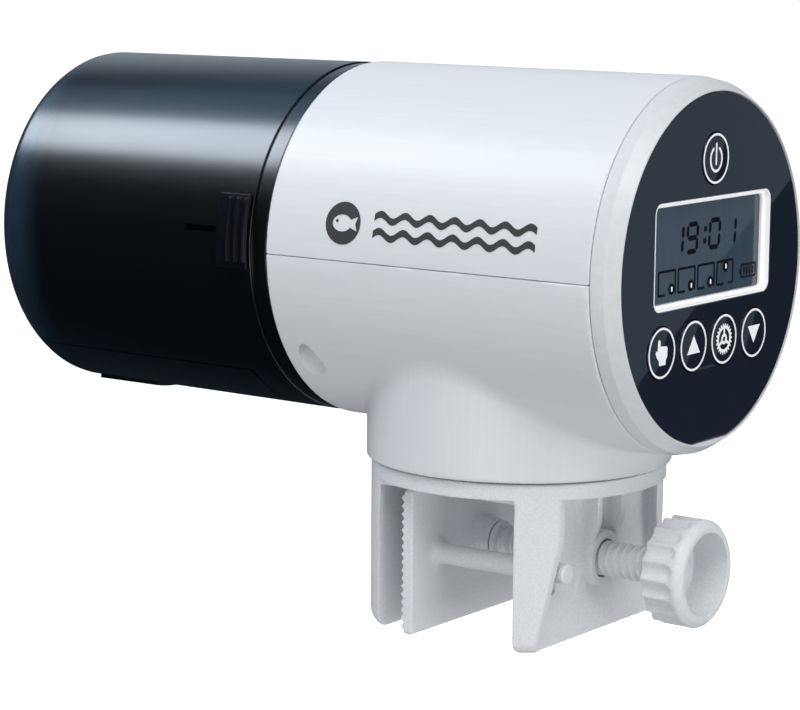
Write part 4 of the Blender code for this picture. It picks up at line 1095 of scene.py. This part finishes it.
def flat_print(name, shapes):
    """Thin outlines in the xy plane, cut into narrow strips so that they can bend."""
    pieces = []
    for shape in shapes:
        rings = rings_of(shape)
        piece = plate("part", (0.0, PRINT), rings[0], rings[1:])
        piece.data.transform(Matrix(((0, 1, 0, 0), (0, 0, 1, 0), (1, 0, 0, 0), (0, 0, 0, 1))))
        pieces.append(piece)
    item = gather(name, *pieces)
    bm = bmesh.new()
    bm.from_mesh(item.data)
    for step in range(1, 40):
        geometry = bm.verts[:] + bm.edges[:] + bm.faces[:]
        height = MM * 0.4 * step
        bmesh.ops.bisect_plane(bm, geom=geometry, plane_co=(0, height, 0), plane_no=(0, 1, 0))
    bm.to_mesh(item.data)
    bm.free()
    return item


def fish_shape(x, y, length):
    """A plain fish swimming left: an oval body that narrows to a forked tail, and an eye."""
    body = []
    for index in range(29):
        turn = math.radians(28.0 + 304.0 * index / 28)
        body.append((x + 0.37 * length * math.cos(turn), y + 0.27 * length * math.sin(turn)))
    tail = [(x + u * length, y + v * length) for u, v in ((0.60, -0.23), (0.52, 0.0), (0.60, 0.23))]
    return (body + tail, circle(x - 0.2 * length, y + 0.06 * length, 0.05 * length, 16))


def wave_shape(x0, x1, y, rise, thickness, length):
    """A wavy line of even thickness."""
    count = 60
    steps = [x0 + (x1 - x0) * index / count for index in range(count + 1)]
    line = [(x, y + rise * math.sin(2 * math.pi * (x - x0) / length)) for x in steps]
    return [(x, v + thickness / 2) for x, v in line] + [(x, v - thickness / 2) for x, v in reversed(line)]


def make_mark():
    """A generic fish in a disc over a pair of waves, printed where such feeders carry a mark."""
    y = 6.7
    body, eye = fish_shape(-3.3, y, 5.6)
    shapes = [(circle(-3.1, y, 3.8), body), eye]
    shapes += [wave_shape(3.6, 37.4, y + lift, 0.62, 1.25, 5.2) for lift in (1.5, -1.5)]
    return wrap(flat_print("fish_mark", shapes), BODY_R + 0.04)


# ---- drum

def drum_outline(inset):
    """The drum's section from its mouth to the closed end's centre."""
    return [(DRUM_X1, DRUM_R - inset), (DRUM_X0 + inset, DRUM_END_R - inset, DRUM_EDGE_R - inset),
            (DRUM_X0 + inset, 0.0)]


def make_drum():
    """The smoked tub with its hatch opening, grooved rails and outlet window."""
    inside = drum_outline(DRUM_WALL)
    mouth = [(DRUM_X1, DRUM_R - DRUM_WALL)]
    lip = [(DRUM_X1, DRUM_R - 0.25, 0.2), (DRUM_X1 - 3.0, DRUM_R - 0.25), (DRUM_X1 - 3.1, DRUM_R - 0.45),
           (DRUM_X1 - 3.5, DRUM_R - 0.45), (DRUM_X1 - 3.6, DRUM_R - 0.02, 0.1)]
    profile = inside[::-1][:-1] + mouth + lip + drum_outline(0.0)[1:]
    drum = lathe("smoked_drum", profile, (0.0, AXIS_Z))
    rail = [(29.5, 2.8), (29.5, -4.8), (GROOVE_R0, -4.8), (GROOVE_R0, -0.6), (TONGUE_R1, -0.6),
            (TONGUE_R1, 2.8)]
    for side in (-1, 1):
        outline = [around(radius, UNDERSIDE + side * (RAIL_ANGLE + lean)) for radius, lean in rail]
        combine(drum, "UNION", plate("rail", (DRUM_X0 + 1.2, -31.1), outline))
    hatch_x = (DRUM_X0 - 3.0, HATCH_X1 + 0.3)
    stem_x = (GATE_X0 - GATE_TRAVEL - 0.5, -29.9)
    cuts = (("opening", hatch_x, GROOVE_R0, CLEAR_R, UNDERSIDE, HATCH_HALF_ANGLE + 0.5),
            ("groove", hatch_x, GROOVE_R0, 32.0, UNDERSIDE, RAIL_ANGLE),
            ("window", WINDOW_X, 28.5, CLEAR_R, GATE_ANGLE, 8.0),
            ("slot", stem_x, 28.5, CLEAR_R, GATE_ANGLE, 1.0))
    for name, ends, inner, outer, turn, half in cuts:
        tool = plate(name, ends, sector(inner, outer, turn - half, turn + half))
        combine(drum, "DIFFERENCE", tool)
    return shade(drum)


def make_hatch():
    """The curved lid with its tongues and finger grip, trimmed to the drum's outer form."""
    lid_x = (DRUM_X0 - 2.0, HATCH_X1)
    tongue = sector(LID_R0, TONGUE_R1, UNDERSIDE - 46.2, UNDERSIDE + 46.2)
    hatch = plate("smoked_hatch", lid_x, tongue)
    skin = sector(LID_R0, CLEAR_R, UNDERSIDE - HATCH_HALF_ANGLE, UNDERSIDE + HATCH_HALF_ANGLE)
    combine(hatch, "UNION", plate("skin", lid_x, skin))
    form = lathe("form", [(DRUM_X1, 0.0)] + drum_outline(0.0), (0.0, AXIS_Z))
    combine(hatch, "INTERSECT", form)
    grip = sector(32.0, 33.4, UNDERSIDE - 11.5, UNDERSIDE + 11.5)
    combine(hatch, "UNION", plate("grip", (-84.6, -69.4), grip))
    return shade(hatch)


def from_gate(y, z):
    """Degrees round the drum's axis from the middle of the gate."""
    return np.degrees(np.arctan2(z - AXIS_Z, -y)) - GATE_ANGLE


def gate_shape(x, y, z):
    """The ribbed slide over the outlet, with its stem and its shutter inside the drum."""
    across = np.hypot(y, z - AXIS_Z)
    along = np.radians(from_gate(y, z)) * GATE_R
    half = math.radians(GATE_HALF_ANGLE) * GATE_R
    whole_x = (GATE_X0, GATE_X1)
    pad = block(x, along, across, (whole_x, (-half, half), (33.25, 33.9)), 0.25)
    for rib_x in (-28.6, -26.75, -24.9):
        spans = ((rib_x - 0.45, rib_x + 0.45), (-half + 1.2, half - 0.8), (33.5, 34.4))
        pad = merge(pad, block(x, along, across, spans, 0.4), 0.25)
    stem_x = (GATE_X0 + 0.4, GATE_X0 + 1.9)
    stem = block(x, along, across, (stem_x, (-0.45, 0.45), (30.2, 33.5)))
    spans = ((GATE_X0, GATE_X1 - 0.4), (-half + 1.1, half - 1.1), (29.9, 30.6))
    return merge(merge(pad, stem, 0.2), block(x, along, across, spans, 0.2), 0.2)


def collar_shape(x, y, z):
    """The dark plug in the drum's mouth, with a skirt and the socket for the drive."""
    across = np.hypot(y, z - AXIS_Z)
    low, high = span("hopper_collar", 0)
    skirt_x = low + 0.6
    solid = rod(x, across, 30.8, (skirt_x, high), 0.3)
    solid = carve(solid, rod(x, across, 29.3, (skirt_x - 5.0, high - 1.6), 0.3), 0.4)
    solid = merge(solid, rod(x, across, 6.5, (low, high), 0.4), 0.8)
    turn = np.arctan2(z - AXIS_Z, y)
    sixth = math.pi / 3
    flat = across * np.cos((turn % sixth) - sixth / 2) - 3.95
    solid = carve(solid, np.maximum(flat, low + 1.2 - x), 0.2)
    opening = np.abs(from_gate(y, z)) - GATE_HALF_ANGLE - 2.0
    notch = np.maximum(np.maximum(np.radians(opening) * 30.0, x + 23.6), 26.0 - across)
    return carve(solid, notch, 0.3)


# ---- assembly

def build_clamp():
    white = clamp_white()
    fit(make_clamp(), white, "clamp", "clamp_white", "clamp_base")
    jaw = cast("sliding_jaw", jaw_shape, whole_span("pressure_jaw"), 0.3)
    fit(jaw, white, "jaw", "clamp_white", "pressure_jaw")
    fit(make_cap(), white, "jaw", "clamp_white", "screw_cap")
    thread = cast("threaded_rod", screw_shape, round_screw(THREAD_R, FOOT_X0, KNOB_X0 + 0.5), 0.17)
    fit(thread, white, "screw", "clamp_white", "thumbscrew")
    knob = cast("fluted_knob", knob_shape, round_screw(KNOB_R, KNOB_X0, KNOB_X1), 0.22, 0.5)
    fit(knob, white, "screw", "clamp_white")


def build_housing():
    white = body_white()
    fit(make_lower_shell(), white, "feeder", "body_white", "lower_shell")
    fit(make_upper_shell(), white, "feeder", "body_white", "upper_shell")
    door = cast("battery_cover", door_shape, whole_span("battery_door"), 0.36)
    fit(door, white, "battery_cover", "body_white", "battery_door")
    grey = moulded("ring_pale_grey", (0.68, 0.695, 0.715), (0.73, 0.745, 0.76), (0.3, 0.42), 0.004,
                   (900.0, 300.0, 2200.0))
    fit(make_ring(), grey, "feeder", "ring_grey", "front_ring")
    fit(make_mark(), ink("mark_ink", (0.06, 0.062, 0.067)), "feeder", "body_white")


def build_controls():
    lens = moulded("lens_dark_gloss", (0.013, 0.020, 0.034), (0.015, 0.022, 0.037), (0.008, 0.016), 0.0,
                   (30.0, 120.0), Coat_Weight=0.2, Coat_Roughness=0.01)
    # The white print on the keys and the meal dots carries painted light: an emission of 0.1, though it
    # is no lamp.
    white = ink("symbol_ink", (0.94, 0.94, 0.94), 0.1)
    fit(make_lens(), lens, "feeder", "lens_gloss", "control_panel")
    fit(make_display_glass(), lcd_glass(), "feeder", "lcd_glass", "lcd_module")
    # The white display frame carries painted light: an emission of 0.14, though it is no lamp.
    frame_ink = ink("frame_white", (0.96, 0.96, 0.96), 0.14)
    fit(make_display_frame(), frame_ink, "feeder", "body_white", "lcd_frame")
    for key in KEYS:
        body = key.replace("key_", "") + "_key"
        fit(make_key(key), lens, body, "key_gloss", key)
        fit(make_key_print(key), white, body, "key_gloss")
    dark = ink("display_ink", (0.004, 0.006, 0.011))
    fit(display_print("display_figures", display_shapes()), dark, "feeder", "lcd_glass")
    discs = [circle(u, v, 0.98, 32) for u, v in meal_marks()]
    fit(display_print("meal_discs", discs, 0.0, 2 * PRINT), dark, "feeder", "lcd_glass")
    dots = [rounded_rect(u + 0.05, v, 0.42, 0.85, 0.15) for u, v in meal_marks()]
    fit(display_print("meal_dots", dots, 0.04, 2 * PRINT), white, "feeder", "lcd_glass")


def build_drum():
    smoke = smoked_plastic()
    dark = moulded("dark_satin_plastic", (0.002, 0.003, 0.006), (0.004, 0.006, 0.010), (0.3, 0.45),
                   0.006, (700.0, 500.0, 1800.0), Specular_IOR_Level=0.22)
    fit(make_drum(), smoke, "drum", "smoked_hopper", "hopper_drum")
    fit(make_hatch(), smoke, "hatch", "smoked_hopper", "refill_hatch")
    gate = cast("outlet_slide", gate_shape, whole_span("outlet_gate"), 0.16, 0.5)
    fit(gate, dark, "gate", "collar_dark", "outlet_gate")
    collar = cast("drum_collar", collar_shape, whole_span("hopper_collar"), 0.4, 0.35)
    fit(collar, dark, "drum", "collar_dark", "hopper_collar")


def dress_kept_nodes():
    """Materials for the CAD nodes that stay: the insides, which show when a cover is open."""
    steel = brushed("zinc_plated_steel", (0.50, 0.50, 0.51), (0.62, 0.62, 0.63), (0.25, 0.38))
    nickel = moulded("nickel_plate", (0.66, 0.64, 0.6), (0.74, 0.72, 0.68), (0.16, 0.26), 0.003,
                     Metallic=1.0)
    acetal = moulded("natural_acetal", (0.74, 0.72, 0.65), (0.8, 0.78, 0.71), (0.38, 0.5))
    inner = moulded("inner_dark_plastic", (0.02, 0.022, 0.027), (0.03, 0.032, 0.038), (0.42, 0.55))
    finishes = {
        "keypad_mat": moulded("grey_rubber", (0.22, 0.225, 0.23), (0.27, 0.275, 0.28), (0.7, 0.85),
                              0.01),
        "circuit_board": moulded("green_mask", (0.012, 0.10, 0.045), (0.018, 0.13, 0.06),
                                 (0.3, 0.45), 0.01),
        "battery_tray": inner, "gearbox_plate": inner, "home_switch": inner,
        "battery_cell_low": cell_jacket(), "battery_cell_high": cell_jacket(),
        "contact_bridge": nickel, "contact_low": nickel, "contact_high": nickel,
        "swivel_screw": steel, "swivel_washer": steel, "shell_screw_front": steel,
        "shell_screw_rear": steel,
        "motor": brushed("motor_can_steel", (0.5, 0.5, 0.5), (0.6, 0.6, 0.6), (0.2, 0.32)),
        "shaft_bush": moulded("sintered_bronze", (0.42, 0.27, 0.12), (0.52, 0.35, 0.17), (0.4, 0.55),
                              0.01, Metallic=1.0),
        "drive_hub": acetal, "compound_gear": acetal, "motor_pinion": acetal,
    }
    for name, mat in finishes.items():
        dress(frame["nodes"][name], mat)


# ---- stage

CAMERA_AZIMUTH = 36.218
CAMERA_ELEVATION = 8.964
CAMERA_ROLL = 0.51
CAMERA_DISTANCE = 514.8
CAMERA_TARGET = (-14.31, 0.0, 19.81)
CAMERA_LENS = 122.57
SENSOR = 36.0


def direction(azimuth, elevation):
    """A unit vector; azimuth turns from -Y towards +X."""
    a, e = math.radians(azimuth), math.radians(elevation)
    return Vector((math.sin(a) * math.cos(e), -math.cos(a) * math.cos(e), math.sin(e)))


def aim(item, spot, target, roll=0.0):
    """Places an object at spot, looking at target; both are in millimetres."""
    back = (Vector(spot) - Vector(target)).normalized()
    right = Vector((0, 0, 1)).cross(back).normalized()
    up = back.cross(right)
    turn = Matrix((right, up, back)).transposed().to_4x4()
    item.matrix_world = Matrix.Translation(Vector(spot) * MM) @ turn @ Matrix.Rotation(roll, 4, "Z")


def make_camera():
    lens = bpy.data.cameras.new("camera")
    lens.sensor_width = SENSOR
    lens.lens = CAMERA_LENS
    lens.clip_start = 0.01
    camera = place("camera", lens)
    spot = Vector(CAMERA_TARGET) + CAMERA_DISTANCE * direction(CAMERA_AZIMUTH, CAMERA_ELEVATION)
    aim(camera, spot, CAMERA_TARGET, math.radians(CAMERA_ROLL))
    bpy.context.scene.camera = camera


def softbox(name, spot, target, size, power, roll=0.0, color=(1.0, 1.0, 1.0)):
    """A rectangular light; size is its width and height, and power is in watts."""
    lamp = bpy.data.lights.new(name, "AREA")
    lamp.shape = "RECTANGLE"
    lamp.size = MM * size[0]
    lamp.size_y = MM * size[1]
    lamp.energy = power
    lamp.color = color
    item = place(name, lamp)
    aim(item, spot, target, math.radians(roll))
    return item


def make_lights():
    """A key, fills from the side, the front and the back, two long strips that give the drum its
    highlight, and a card that the lens reflects."""
    centre = Vector((10.0, 0.0, 25.0))
    fills = (("key_light", 900.0, (42.0, 54.0), (600.0, 500.0), 4.2),
             ("side_light", 700.0, (80.0, -4.0), (400.0, 300.0), 1.15),
             ("front_light", 800.0, (8.0, -8.0), (400.0, 300.0), 0.6),
             ("back_light", 900.0, (215.0, 28.0), (600.0, 500.0), 2.2))
    for name, reach, way, size, power in fills:
        lamp = softbox(name, centre + reach * direction(*way), centre, size, power)
    lamp.visible_glossy = False
    aimed_at = (-495.0, -27.0, 61.0)
    softbox("strip_light", (-495.0, -243.0, 511.0), aimed_at, (610.0, 250.0), 2.6, -9.0,
            (0.86, 0.95, 1.06))
    softbox("upper_strip", (-495.0, 17.0, 559.0), aimed_at, (610.0, 230.0), 0.12, -9.0,
            (0.55, 0.8, 1.0))
    lens = Vector((PANEL_X1, 1.1, 40.2))
    card = softbox("lens_card", lens + 450.0 * direction(150.5, -7.2), lens, (150.0, 320.0), 0.04,
                   -34.9, (0.75, 0.95, 1.1))
    card.matrix_world = card.matrix_world @ Matrix.Translation((-MM * 75.0, 0.0, 0.0))


def background(world, color, strength):
    made = node(world, "Background", Color=(*color, 1.0), Strength=strength)
    return made.outputs["Background"]


def ramp(world, source, start, end):
    """Rises smoothly from 0 to 1 as source goes from start to end."""
    return ranged(world, source, start, end, interpolation_type="SMOOTHSTEP")


def product(world, first, second):
    made = node(world, "Math", operation="MULTIPLY")
    wire(world, first, made.inputs[0])
    wire(world, second, made.inputs[1])
    return made.outputs["Value"]


def choose(world, factor, first, second):
    made = node(world, "MixShader")
    for socket, source in zip(made.inputs, (factor, first, second)):
        wire(world, source, socket)
    return made.outputs["Shader"]


def make_world():
    """A white room to the eye, soft fill to matt surfaces, and for reflections a dark room with
    a pale backdrop behind the feeder on its hopper side."""
    world = bpy.data.worlds.new("studio")
    bpy.context.scene.world = world
    world.use_nodes = True
    world.node_tree.nodes.remove(world.node_tree.nodes["Background"])
    room = background(world, (1.0, 1.0, 1.0), 1.0)
    high = background(world, (0.95, 0.97, 1.0), 0.27)
    low = background(world, (0.95, 0.97, 1.0), 0.6)
    dark = background(world, (0.4, 0.7, 1.0), 0.022)
    zenith = background(world, (0.25, 0.58, 1.0), 0.3)
    backdrop = background(world, (0.7, 0.85, 1.0), 0.4)
    split = node(world, "SeparateXYZ")
    wire(world, node(world, "TexCoord").outputs["Generated"], split.inputs["Vector"])
    x, y, z = (split.outputs[axis] for axis in "XYZ")
    mirror = choose(world, ramp(world, z, 0.55, 0.8), dark, zenith)
    behind = product(world, ramp(world, x, 0.1, -0.1), ramp(world, y, 0.3, 0.65))
    behind = product(world, behind, ramp(world, z, -0.2, 0.0))
    mirror = choose(world, behind, mirror, backdrop)
    path = node(world, "LightPath")
    fill = choose(world, ramp(world, z, -0.3, 0.3), low, high)
    soft = choose(world, path.outputs["Is Glossy Ray"], fill, mirror)
    result = choose(world, path.outputs["Is Camera Ray"], soft, room)
    wire(world, result, world.node_tree.nodes["World Output"].inputs["Surface"])


def make_floor():
    """A pale floor well below the feeder, which hangs on a rim in use."""
    bm = bmesh.new()
    bmesh.ops.create_grid(bm, x_segments=8, y_segments=8, size=6.0)
    floor = store("floor", bm)
    floor.location.z = MM * (CLAMP_Z0 - 220.0)
    mat = shader_material("floor_white", Emission_Color=(1.0, 1.0, 1.0, 1.0), Emission_Strength=0.95)
    tint(mat, grain(mat, 3.0), (0.88, 0.88, 0.88), (0.9, 0.9, 0.9))
    roughen(mat, grain(mat, 5.0), 0.8, 0.9)
    dress(floor, mat)
    floor.visible_glossy = False
    floor.visible_diffuse = False
    floor.visible_transmission = False


make_world()
make_floor()
make_lights()
make_camera()
bpy.context.scene.view_settings.view_transform = "Standard"

build_clamp()
build_housing()
build_controls()
build_drum()
dress_kept_nodes()
